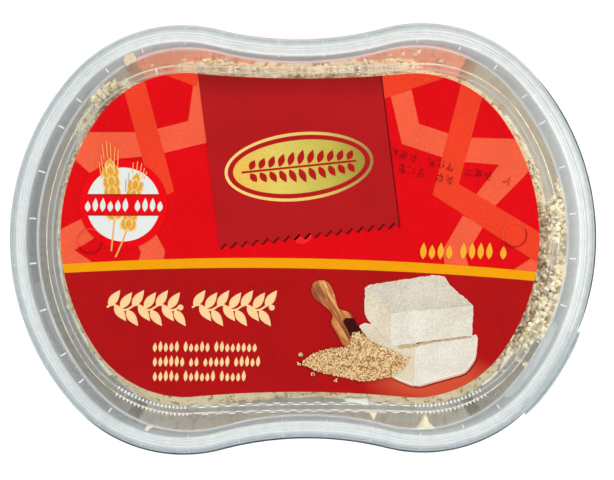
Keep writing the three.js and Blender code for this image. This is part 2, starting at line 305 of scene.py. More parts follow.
def clear_polypropylene(name, wave, haze=None, level=None, thin_cast=(0.90, 1.03), thick_cast=(0.975, 0.975),
                        cast_levels=(170, 225)):
    """Clarified polypropylene, injection moulded: clear and cold, milky where it is folded over itself in
    the rim, smooth, with the slow waves of a mould's flow in its reflections. The points' own haze says
    how milky it is and their tone how light the milk is, unless they are given for the whole piece; round
    the rim the tone carries painted highlights and painted shade. A cast is how much red and blue the milk
    has for its green, where it is dark and where it is light."""
    material, tree, place = new_material(name)
    waves = uneven(tree, place, 9.0, detail=1.0)
    normal = add_node(tree, "Bump", {"Height": waves, "Strength": 1.0, "Distance": wave * MM})
    glass = add_node(tree, "BsdfPrincipled", {
        "Base Color": linear("F7FAFA"), "Transmission Weight": 1.0, "IOR": 1.49, "Roughness": 0.0,
        "Normal": normal})
    milk_tone = grey(level) if level else add_node(tree, "Attribute", out="Fac", attribute_name="tone")
    streaks = uneven(tree, place, 2.2, (0.3, 0.7, 0.93, 1.07), 3.0)
    green = add_node(tree, "Math", [milk_tone, streaks], operation="MULTIPLY")
    casts = [add_node(tree, "MapRange", [green, *map(grey, cast_levels), thin, thick])
             for thin, thick in zip(thin_cast, thick_cast)]
    red, blue = [add_node(tree, "Math", [green, cast], operation="MULTIPLY") for cast in casts]
    milk = add_node(tree, "BsdfPrincipled", {
        "Base Color": add_node(tree, "CombineColor", [red, green, blue]), "Roughness": 0.22, "IOR": 1.49,
        "Normal": normal})
    if haze is None:
        # A slanting look passes through more of the milk than a square one.
        facing = add_node(tree, "LayerWeight", {"Blend": 0.5}, "Facing")
        slant = add_node(tree, "Math", [1.05, facing], operation="SUBTRACT")
        path = add_node(tree, "Math", [1.0, slant], operation="DIVIDE")
        share = add_node(tree, "Attribute", out="Fac", attribute_name="haze")
        clear = add_node(tree, "Math", [1.0, share], operation="SUBTRACT")
        passed = add_node(tree, "Math", [clear, path], operation="POWER")
        haze = add_node(tree, "Math", [1.0, passed], operation="SUBTRACT")
    body = add_node(tree, "MixShader", [haze, glass, milk])
    passing = add_node(tree, "BsdfTransparent", [linear("FAFCFC")])
    in_shadow = add_node(tree, "LightPath", out="Is Shadow Ray")
    add_node(tree, "OutputMaterial", [add_node(tree, "MixShader", [in_shadow, body, passing])])
    return material


def ink_surface(tree, place, colour, roughness=0.36):
    """Printed film under a thin satin varnish, with the fine mottle of the ink."""
    flecks = uneven(tree, place, 0.16, detail=1.0)
    normal = add_node(tree, "Bump", {"Height": flecks, "Strength": 0.25, "Distance": 0.02 * MM})
    add_node(tree, "OutputMaterial", [add_node(tree, "BsdfPrincipled", {
        "Base Color": colour, "Roughness": roughness, "IOR": 1.25, "Normal": normal})])


def film_inside(name, hex_colour, glow):
    """The unprinted back of a label: polypropylene film, which lets much of the light behind it through and
    scatters it evenly. On top of that real translucency it has a glow of its own, painted light."""
    material, tree, place = new_material(name)
    clouds = uneven(tree, place, 5.0, (0.3, 0.7, 0.92, 1.0))
    colour = add_node(tree, "Mix", {0: 1.0, 6: linear(hex_colour), 7: clouds}, 2, **TIMES)
    # The emission is painted light: the film glows though it is no lamp.
    front = add_node(tree, "BsdfPrincipled", {
        "Base Color": colour, "Roughness": 0.4, "IOR": 1.4, "Emission Color": colour,
        "Emission Strength": glow})
    through = add_node(tree, "BsdfTranslucent", [colour])
    add_node(tree, "OutputMaterial", [add_node(tree, "MixShader", [0.6, front, through])])
    return material


def mottled(tree, place, colour, amount):
    """A colour with the grain of the print, 0.45 mm, and slow unevenness over some 12 mm."""
    fine = uneven(tree, place, 0.45, (0.3, 0.7, 1 - amount, 1 + amount))
    slow = uneven(tree, place, 12.0, (0.35, 0.65, 1 - amount / 3, 1 + amount / 3), 1.0)
    both = add_node(tree, "Math", [fine, slow], operation="MULTIPLY")
    return add_node(tree, "Mix", {0: 1.0, 6: colour, 7: both}, 2, **TIMES)


def ink(name, hex_colour, amount=0.08):
    """One flat colour of print on polypropylene film: even, satin, faintly mottled."""
    material, tree, place = new_material(name)
    ink_surface(tree, place, mottled(tree, place, linear(hex_colour), amount))
    return material


def ramped_ink(name, axis, low, high, stops, amount=0.08):
    """A colour of print that changes between two places along an axis, in millimetres."""
    material, tree, place = new_material(name)
    along = add_node(tree, "SeparateXYZ", [place], axis)
    share = add_node(tree, "MapRange", [along, low * MM, high * MM])
    ink_surface(tree, place, mottled(tree, place, add_node(tree, "ValToRGB", [share], stops=stops), amount))
    return material


def field_red_ink():
    """The plate's red ground: printed film, with lighter specks and patches: partly rubbed varnish, partly
    painted sheen where the varnish caught the light.
    """
    material, tree, place = new_material("printed_film_red")
    base = mottled(tree, place, linear("DA050F"), 0.1)
    specks = uneven(tree, place, 1.1, (0.70, 0.76), 3.0, 0.75)
    patches = uneven(tree, place, 14.0, (0.52, 0.66))
    worn_and_sheen_share = add_node(tree, "Math", [specks, patches], operation="MULTIPLY")
    faint = add_node(tree, "Math", [worn_and_sheen_share, 0.35], operation="MULTIPLY")
    ink_surface(tree, place, add_node(tree, "Mix", {0: faint, 6: base, 7: linear("EC6450")}, 2, **OVER))
    return material


def lower_red_ink():
    """The plate's dark lower field, with the warm glow that the print has under the blocks."""
    material, tree, place = new_material("printed_film_dark_red")
    base = mottled(tree, place, linear("AA0F11"), 0.13)
    middle = add_node(tree, "Mapping", {
        "Vector": place, "Location": (-33.5 * MM, 37.0 * MM, -PLATE_TOP * MM)})
    squeezed = add_node(tree, "Mapping", {"Vector": middle, "Scale": (1 / (19 * MM), 1 / (7.5 * MM), 0.0)})
    distance = add_node(tree, "VectorMath", [squeezed], "Value", operation="LENGTH")
    glow = add_node(tree, "MapRange", [distance, 0.45, 1.0, 1.0, 0.0])
    ink_surface(tree, place, add_node(tree, "Mix", {0: glow, 6: base, 7: linear("CC4A30")}, 2, **OVER))
    return material


def halva_material(name, light, middle, dark, lump_size, single=False):
    """Sesame halva: pulled sugar and sesame paste, dry and matt, in crumbly strands, with dark cracks
    painted upright in its sides and its hollows painted darker, as painted shade. Single crumbs each have
    their own shade."""
    material, tree, place = new_material(name)
    strands = add_node(tree, "Mapping", {"Vector": place, "Scale": (0.55, 1.5, 1.2)})
    broad = uneven(tree, strands, 4.0, detail=3.0)
    fine = uneven(tree, strands, 0.7, detail=3.0, roughness=0.65)
    both = add_node(tree, "Math", [broad, fine], operation="ADD")
    spread = add_node(tree, "MapRange", [both, 0.7, 1.3])
    colour = add_node(tree, "ValToRGB", [spread], stops=[
        (0.0, dark), (0.3, middle), (0.6, middle), (1.0, light)])
    upright = add_node(tree, "Mapping", {"Vector": place, "Scale": (1.0, 1.0, 0.14)})
    # Upright cracks, painted dark on the sides: painted shade.
    painted_cracks = uneven(tree, upright, 1.5, (0.37, 0.45, 0.8, 0.0))
    hollow, side, shade = [add_node(tree, "Attribute", out="Fac", attribute_name=value)
                           for value in ("hollow", "side", "shade")]
    crack_shade = add_node(tree, "Math", [painted_cracks, side], operation="MULTIPLY")
    deep = add_node(tree, "Math", [crack_shade, hollow], operation="MAXIMUM")
    colour = add_node(tree, "Mix", {0: deep, 6: colour, 7: linear(dark)}, 2, **OVER)
    if single:
        amount = add_node(tree, "MapRange", [shade, 0.0, 1.0, 0.86, 1.06])
        colour = add_node(tree, "Mix", {0: 1.0, 6: colour, 7: amount}, 2, **TIMES)
    lumps = uneven(tree, place, lump_size, detail=4.0, roughness=0.7)
    normal = add_node(tree, "Bump", {
        "Height": lumps, "Strength": 1.0, "Distance": (0.06 if single else 0.16) * MM})
    add_node(tree, "OutputMaterial", [add_node(tree, "BsdfPrincipled", {
        "Base Color": colour, "Roughness": 0.75, "IOR": 1.35, "Subsurface Weight": 0.0 if single else 0.06,
        "Subsurface Radius": (1.6 * MM, 1.2 * MM, 0.8 * MM), "Subsurface Scale": 1.0, "Normal": normal})])
    return material


LID_PLASTIC = clear_polypropylene("clarified_polypropylene_lid", 0.03)
# The tub's milk is warmer where it is lighter and a little blue where it is darker: part of its painted
# light and shade.
TUB_PLASTIC = clear_polypropylene("clarified_polypropylene_tub", 0.05, thin_cast=(0.985, 1.04),
                                  thick_cast=(1.03, 0.86), cast_levels=(125, 172))
RIB_PLASTIC = clear_polypropylene("clarified_polypropylene_rib", 0.02, 0.85, 252)
# Its bright milk paints the glints on the bead's teeth and dashes: painted reflection.
NOTCH_PLASTIC = clear_polypropylene("clarified_polypropylene_notch", 0.02, 0.6, 232,
                                    (1.0, 1.0), (1.0, 1.01))
GUARD_PLASTIC = clear_polypropylene("clarified_polypropylene_guard", 0.03, 0.5, 186,
                                    (0.93, 0.99), (0.93, 0.99))
PAD_PLASTIC = clear_polypropylene("clarified_polypropylene_pad", 0.03, 0.5, 206, (0.97, 0.98), (0.97, 0.98))
HALVA = halva_material("sesame_halva_broken", "FFEFD0", "F8DBB0", "A9804F", 0.5)
HALVA_CRUMB = halva_material("sesame_halva_crumb", "FFF6DE", "FFEBC6", "F3D2A2", 0.4, True)
HALVA_DUST = halva_material("sesame_halva_dust", "FFFBF0", "FAF0DC", "EADBC0", 0.4, True)


# ---------------------------------------------------------------- what repeats
def tree_with(name, inputs):
    """An empty geometry tree with its named inputs."""
    tree = bpy.data.node_groups.new(name, "GeometryNodeTree")
    for label, kind in inputs.items():
        tree.interface.new_socket(label, in_out="INPUT", socket_type="NodeSocket" + kind)
    tree.interface.new_socket("Geometry", in_out="OUTPUT", socket_type="NodeSocketGeometry")
    return tree, tree.nodes.new("NodeGroupInput").outputs


def copies_to_output(tree, given, points, turn, size, shade):
    """Copies of the input shape on points, each with its own shade, made real and given the material."""
    shape = add_node(tree, "GeometryNodeObjectInfo", {"Object": given["Shape"]}, "Geometry")
    copies = add_node(tree, "GeometryNodeInstanceOnPoints", {
        "Points": points, "Instance": shape, "Rotation": turn, "Scale": size})
    shaded = add_node(tree, "GeometryNodeStoreNamedAttribute", {
        "Geometry": copies, "Name": "shade", "Value": shade}, data_type="FLOAT", domain="INSTANCE")
    real = add_node(tree, "GeometryNodeRealizeInstances", [shaded])
    painted = add_node(tree, "GeometryNodeSetMaterial", {"Geometry": real, "Material": given["Material"]})
    add_node(tree, "NodeGroupOutput", [painted])


def scattering_tree():
    """Copies of a shape strewn over a surface, as densely as the surface's "loose" value says, each turned
    and stretched its own way."""
    tree, given = tree_with("strewn", {
        "Surface": "Geometry", "Shape": "Object", "Per Square Metre": "Float", "Smallest": "Float",
        "Largest": "Float", "Turn": "Vector", "Seed": "Int", "Material": "Material"})
    loose = add_node(tree, "GeometryNodeInputNamedAttribute", {"Name": "loose"}, data_type="FLOAT")
    density = add_node(tree, "Math", [loose, given["Per Square Metre"]], operation="MULTIPLY")
    points = add_node(tree, "GeometryNodeDistributePointsOnFaces", {
        "Mesh": given["Surface"], "Density": density, "Seed": given["Seed"]}, "Points")
    back = add_node(tree, "VectorMath", {0: given["Turn"], "Scale": -1.0}, operation="SCALE")
    turn = add_node(tree, "FunctionNodeRandomValue", {
        0: back, 1: given["Turn"], "Seed": given["Seed"]}, data_type="FLOAT_VECTOR")
    smallest, largest = [add_node(tree, "CombineXYZ", [given[end]] * 3) for end in ("Smallest", "Largest")]
    size = add_node(tree, "FunctionNodeRandomValue", {0: smallest, 1: largest, "Seed": 7},
                    data_type="FLOAT_VECTOR")
    shade = add_node(tree, "FunctionNodeRandomValue", {2: 0.0, 3: 1.0, "Seed": 11}, 1, data_type="FLOAT")
    copies_to_output(tree, given, points, turn, size, shade)
    return tree


def placed_tree():
    """Copies of a shape on given points, each with the turn, tilt and size that its point carries."""
    tree, given = tree_with("placed", {
        "Points": "Geometry", "Shape": "Object", "Length": "Float", "Width": "Float", "Height": "Float",
        "Material": "Material"})
    turned, tilted, sized = [
        add_node(tree, "GeometryNodeInputNamedAttribute", {"Name": name}, data_type="FLOAT")
        for name in ("turn", "tilt", "size")]
    turn = add_node(tree, "CombineXYZ", {"Y": tilted, "Z": turned})
    sizes = add_node(tree, "CombineXYZ", [given["Length"], given["Width"], given["Height"]])
    size = add_node(tree, "VectorMath", {0: sizes, "Scale": sized}, operation="SCALE")
    points = add_node(tree, "GeometryNodeMeshToPoints", [given["Points"]])
    shade = add_node(tree, "FunctionNodeRandomValue", {2: 0.0, 3: 1.0, "Seed": 5}, 1, data_type="FLOAT")
    copies_to_output(tree, given, points, turn, size, shade)
    return tree


STREWN, PLACED = scattering_tree(), placed_tree()


def grown(name, bed, tree, inputs, replaces=()):
    """The plain mesh that a tree grows on a bed, as a piece of its own. Bed and shape are removed."""
    modifier = bed.modifiers.new("grow", "NODES")
    modifier.node_group = tree
    for item in tree.interface.items_tree:
        if item.in_out == "INPUT" and item.name in inputs:
            modifier[item.identifier] = inputs[item.name]
    bpy.context.view_layer.update()
    mesh = bpy.data.meshes.new_from_object(bed.evaluated_get(bpy.context.evaluated_depsgraph_get()))
    bed.modifiers.remove(modifier)
    for helper in (bed, inputs["Shape"]):
        bpy.data.objects.remove(helper)
    mesh.name = name
    mesh.shade_smooth()
    mesh.set_sharp_from_angle(angle=math.radians(40))
    piece = bpy.data.objects.new(name, mesh)
    scene.collection.objects.link(piece)
    return finish_piece(piece, replaces)


def helper_object(name, vertices, faces):
    """A mesh in its own unit, for a tree to copy or to grow on."""
    mesh = bpy.data.meshes.new(name)
    mesh.from_pydata([tuple(v) for v in vertices], [], faces)
    helper = bpy.data.objects.new(name, mesh)
    scene.collection.objects.link(helper)
    return helper


def point_bed(name, places, turns, sizes, tilts=None):
    """Bare points in millimetres for the placed tree."""
    bed = helper_object(name, np.asarray(places) * MM, [])
    add_values(bed, turn=turns, size=sizes, tilt=np.zeros(len(places)) if tilts is None else tilts)
    return bed


def placed(name, shape, places, turns, sizes, measures, material, tilts=None):
    """Copies of a shape on places in millimetres, made to length, width and height, as one piece."""
    length, width, height = measures
    return grown(name, point_bed(f"{name}_places", places, turns, sizes, tilts), PLACED, {
        "Shape": shape, "Length": length * MM, "Width": width * MM, "Height": height * MM,
        "Material": material})


def lump(name, seed, rows=4, columns=6, uneven=0.35):
    """A broken crumb of unit radius, with a few dozen faces."""
    chance = random.Random(seed)
    vertices, faces = [(0, 0, 1.0)], []
    for row in range(1, rows):
        down = math.pi * row / rows
        for column in range(columns):
            turn = 2 * math.pi * (column + 0.5 * (row % 2)) / columns
            reach = 1 + chance.uniform(-uneven, uneven)
            out = reach * math.sin(down)
            vertices.append((out * math.cos(turn), out * math.sin(turn), reach * math.cos(down)))
    vertices.append((0, 0, -1.0))
    last = len(vertices) - 1
    for column in range(columns):
        after = (column + 1) % columns
        faces.append((0, 1 + column, 1 + after))
        for row in range(rows - 2):
            here, below = 1 + row * columns, 1 + (row + 1) * columns
            faces.append((here + column, below + column, below + after, here + after))
        faces.append((last - columns + column, last, last - columns + after))
    return helper_object(name, vertices, faces)


def lens(name, sides=8):
    """A flat seed of unit length along X, pointed at one end, domed on both faces."""
    vertices = [(0, 0, 0.5), (0, 0, -0.5)]
    for i in range(sides):
        turn = 2 * math.pi * i / sides
        x = 0.5 * math.cos(turn)
        vertices.append((x, 0.3 * math.sin(turn) * (1 - 0.45 * x), 0))
    faces = []
    for i in range(sides):
        a, b = 2 + i, 2 + (i + 1) % sides
        faces += [(0, a, b), (1, b, a)]
    return helper_object(name, vertices, faces)


def rounded_bar(name, round_steps=3):
    """A bar one unit long, wide and high about the origin, its long upper edges rounded over."""
    section = [(-0.5, -0.5), (0.5, -0.5)]
    for i in range(round_steps + 1):
        turn = math.pi / 2 * i / round_steps
        section.append((0.15 + 0.35 * math.cos(turn), 0.15 + 0.35 * math.sin(turn)))
    for i in range(round_steps + 1):
        turn = math.pi / 2 * (1 + i / round_steps)
        section.append((-0.15 + 0.35 * math.cos(turn), 0.15 + 0.35 * math.sin(turn)))
    count = len(section)
    vertices = [(x, y, z) for x in (-0.5, 0.5) for y, z in section]
    faces = [tuple(reversed(range(count))), tuple(range(count, 2 * count))]
    faces += [(i, (i + 1) % count, count + (i + 1) % count, count + i) for i in range(count)]
    return helper_object(name, vertices, faces)


def swept(name, section, start, stop, material, steps=96, soft=0.012):
    """A closed strip along the lid's outline between two shares, through a loop of insets and heights, its
    ends drawn in to a round."""
    middle = np.mean(section, axis=0)
    shares = np.linspace(start, stop, steps)
    vertices, count = [], len(section)
    for share in shares:
        near = min(share - start, stop - share) / soft
        width = 1.0 if near >= 1 else max(0.06, math.sqrt(1 - (1 - near) ** 2))
        for inset, z in section:
            inset = middle[0] + (inset - middle[0]) * width
            z = middle[1] + (z - middle[1]) * (0.35 + 0.65 * width)
            vertices.append([*outline_points(LID, inset, [share])[0][0], z])
    faces = []
    for i in range(steps - 1):
        for k in range(count):
            a, b = i * count + k, i * count + (k + 1) % count
            faces.append((a, b, b + count, a + count))
    faces += [tuple(reversed(range(count))), tuple(range((steps - 1) * count, steps * count))]
    piece = mesh_object(name, vertices, faces, [material], 50)
    outward_faces(piece.data)
    finish_piece(piece)


def outward_faces(mesh):
    """Turns a closed mesh's faces outwards."""
    work = bmesh.new()
    work.from_mesh(mesh)
    bmesh.ops.recalc_face_normals(work, faces=work.faces)
    work.to_mesh(mesh)
    work.free()


# ---------------------------------------------------------------- where the halva ends
def smooth_noise(points, size, octaves=3, seed=0.0):
    """Fractal noise, about -1 to 1, at points in millimetres, for lumps of that size."""
    shift = Vector((seed * 17.3, seed * 5.1, seed * 9.7))
    return np.array([noise.fractal(Vector(p) / size + shift, 0.9, 2.0, octaves) for p in points])


# How far the crumbled top edge stands off the wall, and how high the halva stands, round the tub.
EDGE_SHARES = [0.0, 0.03, 0.08, 0.125, 0.165, 0.20, 0.225, 0.275, 0.30, 0.335, 0.36, 0.385, 0.41, 0.44, 0.5,
               0.56, 0.62, 0.69, 0.72, 0.78, 0.81, 0.86, 0.922, 0.932, 0.968, 0.98, 1.0]
EDGE_GAPS = [3.4, 4.4, 5.0, 5.2, 4.0, 1.4, 0.2, 0.2, 1.4, 3.6, 4.6, 1.0, 1.8, 3.8, 3.6,
             4.0, 4.8, 4.6, 3.2, 3.2, 4.6, 5.0, 4.6, 0.4, 0.3, 2.6, 3.4]
EDGE_RISES = [0.4, 0.0, -0.4, -0.6, -0.2, 2.0, 3.6, 3.6, 2.2, 0.2, -0.2, 2.0, 1.0, 0.0, 0.0,
              -0.2, -0.6, -0.2, 0.4, 0.4, -0.4, -0.4, 0.0, 2.4, 2.6, 0.6, 0.4]


def halva_edge(count):
    """Shares round the tub with the halva's gap to the wall there, its top, and where it meets the wall."""
    shares = np.arange(count) / count
    at_edge = ring(LID, wall_inside(HALVA_TOP), HALVA_TOP, count=count)[:, :3]
    gaps = np.interp(shares, EDGE_SHARES, EDGE_GAPS)
    gaps = gaps + 0.9 * smooth_noise(at_edge, 7.0, 2, 1.0) + 0.5 * smooth_noise(at_edge, 2.2, 2, 2.0)
    gaps = np.maximum(gaps, 0.15)
    tops = HALVA_TOP + np.interp(shares, EDGE_SHARES, EDGE_RISES) + 0.5 * smooth_noise(at_edge, 9.0, 2, 3.0)
    return shares, gaps, tops, tops - np.interp(gaps, [0.2, 1.5, 4.0], [0.6, 5.0, 12.5])


# Painted light and shade round the rim, from the +X end: how much lighter or darker the folded plastic's
# milk is made on each side, and how light the lid's and the tub's inner walls are made there.
SIDE_SHARES = [0.0, 0.07, 0.13, 0.25, 0.36, 0.45, 0.5, 0.56, 0.66, 0.75, 0.85, 0.95, 1.0]
SIDE_SHADE_LEVELS = [26, 16, 6, 8, 10, -10, -26, -24, -12, 0, 4, 14, 26]
WALL_SHADE_LEVELS = [206, 190, 178, 160, 172, 130, 116, 122, 156, 160, 172, 190, 206]
TUB_SHADE_LEVELS = [180, 184, 172, 160, 166, 134, 116, 108, 108, 124, 104, 150, 180]


def shaded_round_rim(level, share=1.0, levels=SIDE_SHADE_LEVELS):
    """A level made lighter or darker round the rim, as painted light and shade, by that share of the full
    difference.
    """
    return level + share * np.interp(np.arange(AROUND) / AROUND, SIDE_SHARES, levels)


# ---------------------------------------------------------------- lid
def make_lid():
    """The lid's channel over the rim, its grooved flat top, leaning inner wall, sunken panel and bead."""
    channel_top = LID_TOP - LID_WALL + 0.05
    under = PANEL_TOP - LID_WALL
    clear, line, rim = 0.02, 0.4, 0.6
    # Outline, inset, height, radius of the corner, haze and level, from under the panel's middle and back.
    # The levels are painted light: painted highlights, as the bright lines on the crest, at the wall's foot
    # and on the bead, and painted shade, as the dark outer line and the dark inner wall.
    profile = [
        (FLOOR, 1.4, under, 0, clear, 200), (FLOOR, 0.3, under, 0, clear, 200),
        (FLOOR, -0.6, under + 0.5, 0.3, 0.3, shaded_round_rim(150)),
        (LID, 4.85, channel_top, 0.3, 0.3, shaded_round_rim(180)), (LID, 2.9, channel_top, 0.4, 0.3, 225),
        (LID, 1.5, channel_top - 0.65, 0.5, 0.3, 200), (LID, LID_WALL, channel_top - 2.1, 0.6, 0.3, 190),
        (LID, LID_WALL, SKIRT_BOTTOM, 0, 0.3, 180), (LID, 0.25, SKIRT_BOTTOM, 0.1, rim, 160),
        (LID, 0, SKIRT_BOTTOM + 0.3, 0.15, rim, 150), (LID, 0, LID_TOP - 2.9, 0.8, rim, shaded_round_rim(156, 0.4)),
        (LID, 0.45, LID_TOP - 1.5, 0.6, rim, shaded_round_rim(182, 0.3)), (LID, 1.05, LID_TOP - 0.95, 0.12, rim, 200),
        (LID, 1.2, LID_TOP - 0.95, 0.12, rim, 178), (LID, 1.65, LID_TOP - 0.4, 0.3, rim, 200),
        (LID, 2.2, LID_TOP - 0.06, 0.25, rim, 204), (LID, 2.5, LID_TOP - 0.02, 0.1, rim, 250),
        (LID, 2.75, LID_TOP - 0.16, 0.1, rim, 205), (LID, 3.0, LID_TOP - 0.28, 0.1, rim, 222),
        (LID, 3.25, LID_TOP - 0.1, 0.1, rim, 232), (LID, 3.5, LID_TOP - 0.28, 0.1, rim, 212),
        (LID, 3.8, LID_TOP - 0.12, 0.1, rim, shaded_round_rim(236, 0.3)),
        (LID, 4.1, LID_TOP - 0.28, 0.1, rim, shaded_round_rim(222, 0.3)),
        (LID, 4.45, LID_TOP - 0.06, 0.15, rim, shaded_round_rim(240, 0.4)),
        (LID, 4.8, LID_TOP, 0.2, rim, shaded_round_rim(226, 0.7)),
        (LID, 5.05, LID_TOP - 0.45, 0.15, 0.55, shaded_round_rim(10, levels=WALL_SHADE_LEVELS)),
        (FLOOR, -0.25, PANEL_TOP + 0.4, 0.3, 0.42, shaded_round_rim(0, levels=WALL_SHADE_LEVELS)),
        (FLOOR, 0.1, PANEL_TOP + 0.05, 0.15, line, 225),
        (FLOOR, 0.45, PANEL_TOP, 0.15, line, 215), (FLOOR, 0.8, PANEL_TOP, 0, clear, 200),
        (BEAD, -1.0, PANEL_TOP, 0, clear, 200), (BEAD, -0.85, PANEL_TOP + 0.03, 0.1, 0.3, 225),
        (BEAD, -0.6, PANEL_TOP + 0.12, 0.15, 0.25, 222), (BEAD, -0.4, PANEL_TOP + 0.14, 0.1, 0.06, 215),
        (BEAD, 0.4, PANEL_TOP + 0.14, 0.1, 0.06, 215), (BEAD, 0.6, PANEL_TOP + 0.12, 0.15, 0.35, 215),
        (BEAD, 0.85, PANEL_TOP + 0.03, 0.1, 0.4, 215), (BEAD, 1.0, PANEL_TOP, 0, clear, 200),
        (BEAD, 1.6, PANEL_TOP, 0, clear, 200),
    ]
    rings = [ring(outline, inset, z, haze, level) for outline, inset, z, _, haze, level in profile]
    rings = rounded(rings, [radius for _, _, _, radius, *_ in profile], steps=2)
    piece = ring_body("lid_shell", rings, [LID_PLASTIC], 30)
    return finish_piece(piece, ["lid"])


def make_tub():
    """The leaning wall on a rounded foot, with the turned-down rim that the lid grips. Its inside above the
    halva is made milky and grey, painted shade standing in for the dark reflections that the wall shows
    there, but for the places that the labels cover."""
    foot = wall_inside(BASE_WALL + BASE_ROUND)
    shares, _, _, feet = halva_edge(AROUND)
    beyond = np.abs(outline_points(LID, 0.0, shares)[0][:, 0]) - LABEL_HALF
    shaded_haze = 0.03 + 0.4 * np.clip(beyond / 0.8 + 0.5, 0, 1)
    profile = [
        (foot + 9.0, 0.35, 0), (foot + 3.2, 0.35, 0.3), (foot + 2.6, 0, 0.3), (foot + 1.4, 0, 0.6),
        (foot - 0.1, 0.7, 0.8),
        (wall_inside(BASE_ROUND) - TUB_WALL, BASE_ROUND, 1.0),
        (wall_inside(RIM_TOP - TUB_WALL) - TUB_WALL, RIM_TOP - TUB_WALL, 0.5),
        (RIM_OUTSIDE + TUB_WALL, RIM_TOP - TUB_WALL, 0.5),
        (RIM_OUTSIDE + TUB_WALL, SKIRT_BOTTOM + 0.2, 0.1),
        (RIM_OUTSIDE, SKIRT_BOTTOM + 0.2, 0.1), (RIM_OUTSIDE, RIM_TOP - 1.7, 0.4),
        (RIM_OUTSIDE + 0.6, RIM_TOP - 0.5, 0.5), (RIM_OUTSIDE + 1.6, RIM_TOP, 0.4),
        (WALL_AT_RIM - 0.4, RIM_TOP, 0.2),
        (WALL_AT_RIM + 0.08, RIM_TOP - 0.4, 0.3),
        *[(wall_inside(z), z, 0) for z in (38, 34, 31, 28, 26, 24, 22, 20, 18, 16, 13, 10)],
        (foot, BASE_WALL + BASE_ROUND, 1.2),
        (foot + 0.7, BASE_WALL + 0.7, 0.6), (foot + 2.2, BASE_WALL, 0.6), (foot + 3.4, BASE_WALL, 0),
    ]
    rings = []
    for inset, z, _ in profile:
        inner = wall_inside(z) - 0.2 < inset and 9 < z < 39
        haze = np.where(z > feet + 1.4, shaded_haze, 0.03) if inner else 0.04
        rings.append(ring(LID, inset, z, haze, np.interp(shares, SIDE_SHARES, TUB_SHADE_LEVELS)))
    rings = rounded(rings, [radius for *_, radius in profile], steps=4)
    piece = ring_body("tub_shell", rings, [TUB_PLASTIC], 30)
    return finish_piece(piece, ["tub"])


make_lid()
make_tub()


def wall_foot(shares):
    """How far inside the lid's outline the foot of its inner wall lies, at shares of the outline."""
    outer, _ = outline_points(LID, 0.0, shares)
    inner = evenly(FLOOR, 0.0, 2 * AROUND)
    return np.sqrt(((outer[:, None] - inner[None]) ** 2).sum(axis=2).min(axis=1))


def make_ribs():
    """Short upright ribs high on the rim's inner wall, square to it, and faint ones inside the rim."""
    shares = []
    for i in range(4 * len(RIB_SHIFTS)):
        quarter, place = divmod(i, len(RIB_SHIFTS))
        shift = RIB_SHIFTS[place] if quarter % 2 == 0 else -RIB_SHIFTS[-1 - place]
        shares.append((i + 0.5) / (4 * len(RIB_SHIFTS)) + shift / 1000)
    shares = np.array([share for share in shares if not GUARD_FROM - 0.01 < share < GUARD_TO + 0.01])
    feet = wall_foot(shares)
    long = 0.6 + 0.52 * (feet - 5.9)
    middle = 5.0 + 0.75 * (feet - 5.9)
    share_down = (middle - 4.95) / (feet - 5.2)
    heights = LID_TOP - 0.35 + (PANEL_TOP + 0.75 - LID_TOP) * share_down
    xy, out = outline_points(LID, middle, shares)
    turns = np.arctan2(-out[:, 1], -out[:, 0])
    tilts = np.arctan2(LID_TOP - PANEL_TOP - 0.9, feet - 5.2)
    ribs = placed("lid_ribs", rounded_bar("rib"), at_height(xy, heights), turns, long / 1.3,
                  (1.9, 0.36, 0.6), RIB_PLASTIC, tilts)
    for vertex in ribs.data.vertices:
        vertex.co.z = min(vertex.co.z, (LID_TOP - CLEARANCE) * MM)
    xy, _ = outline_points(LID, 1.35, shares)
    placed("rim_ribs", rounded_bar("rim_rib"), at_height(xy, LID_TOP - 0.68), turns, np.ones(len(shares)),
           (1.0, 0.22, 0.22), NOTCH_PLASTIC, np.full(len(shares), -0.7))


def make_bead_notch_glints():
    """Fine teeth on both flanks of the bead in the front corners, and staggered dashes along the waist, in
    bright milky plastic: painted reflections of the glints that the bead throws there.
    """
    rows = {"teeth": ([], []), "dashes": ([], [])}

    def add_row(kind, low, high, inset, pitch, start=0.0):
        shares = share_at(BEAD, [high, low], -1)
        length = np.linalg.norm(np.diff(outline_points(BEAD, 0, shares)[0], axis=0))
        count = int(length / pitch)
        steps = shares[0] + (shares[1] - shares[0]) * (np.arange(count) + start) / count
        xy, out = outline_points(BEAD, inset, steps)
        rows[kind][0].extend((*point, PANEL_TOP + 0.24) for point in xy)
        rows[kind][1].extend(np.arctan2(out[:, 1], out[:, 0]) + (math.pi / 2 if kind == "dashes" else 0))

    for low, high in ((-49.0, -30.4), (28.4, 46.6)):
        add_row("teeth", low, high, -0.9, 1.0)
        add_row("teeth", low, high, 0.9, 1.0, 0.5)
    for inset, start in ((-1.12, 0.0), (-0.74, 0.5), (0.8, 0.25), (1.2, 0.75)):
        add_row("dashes", -29.4, 27.4, inset, 3.4, start)
    for kind, long, wide in (("teeth", 0.8, 0.36), ("dashes", 1.7, 0.27)):
        places, turns = rows[kind]
        placed(f"bead_{kind}", rounded_bar(kind), places, turns, np.ones(len(places)), (long, wide, 0.3),
               NOTCH_PLASTIC)


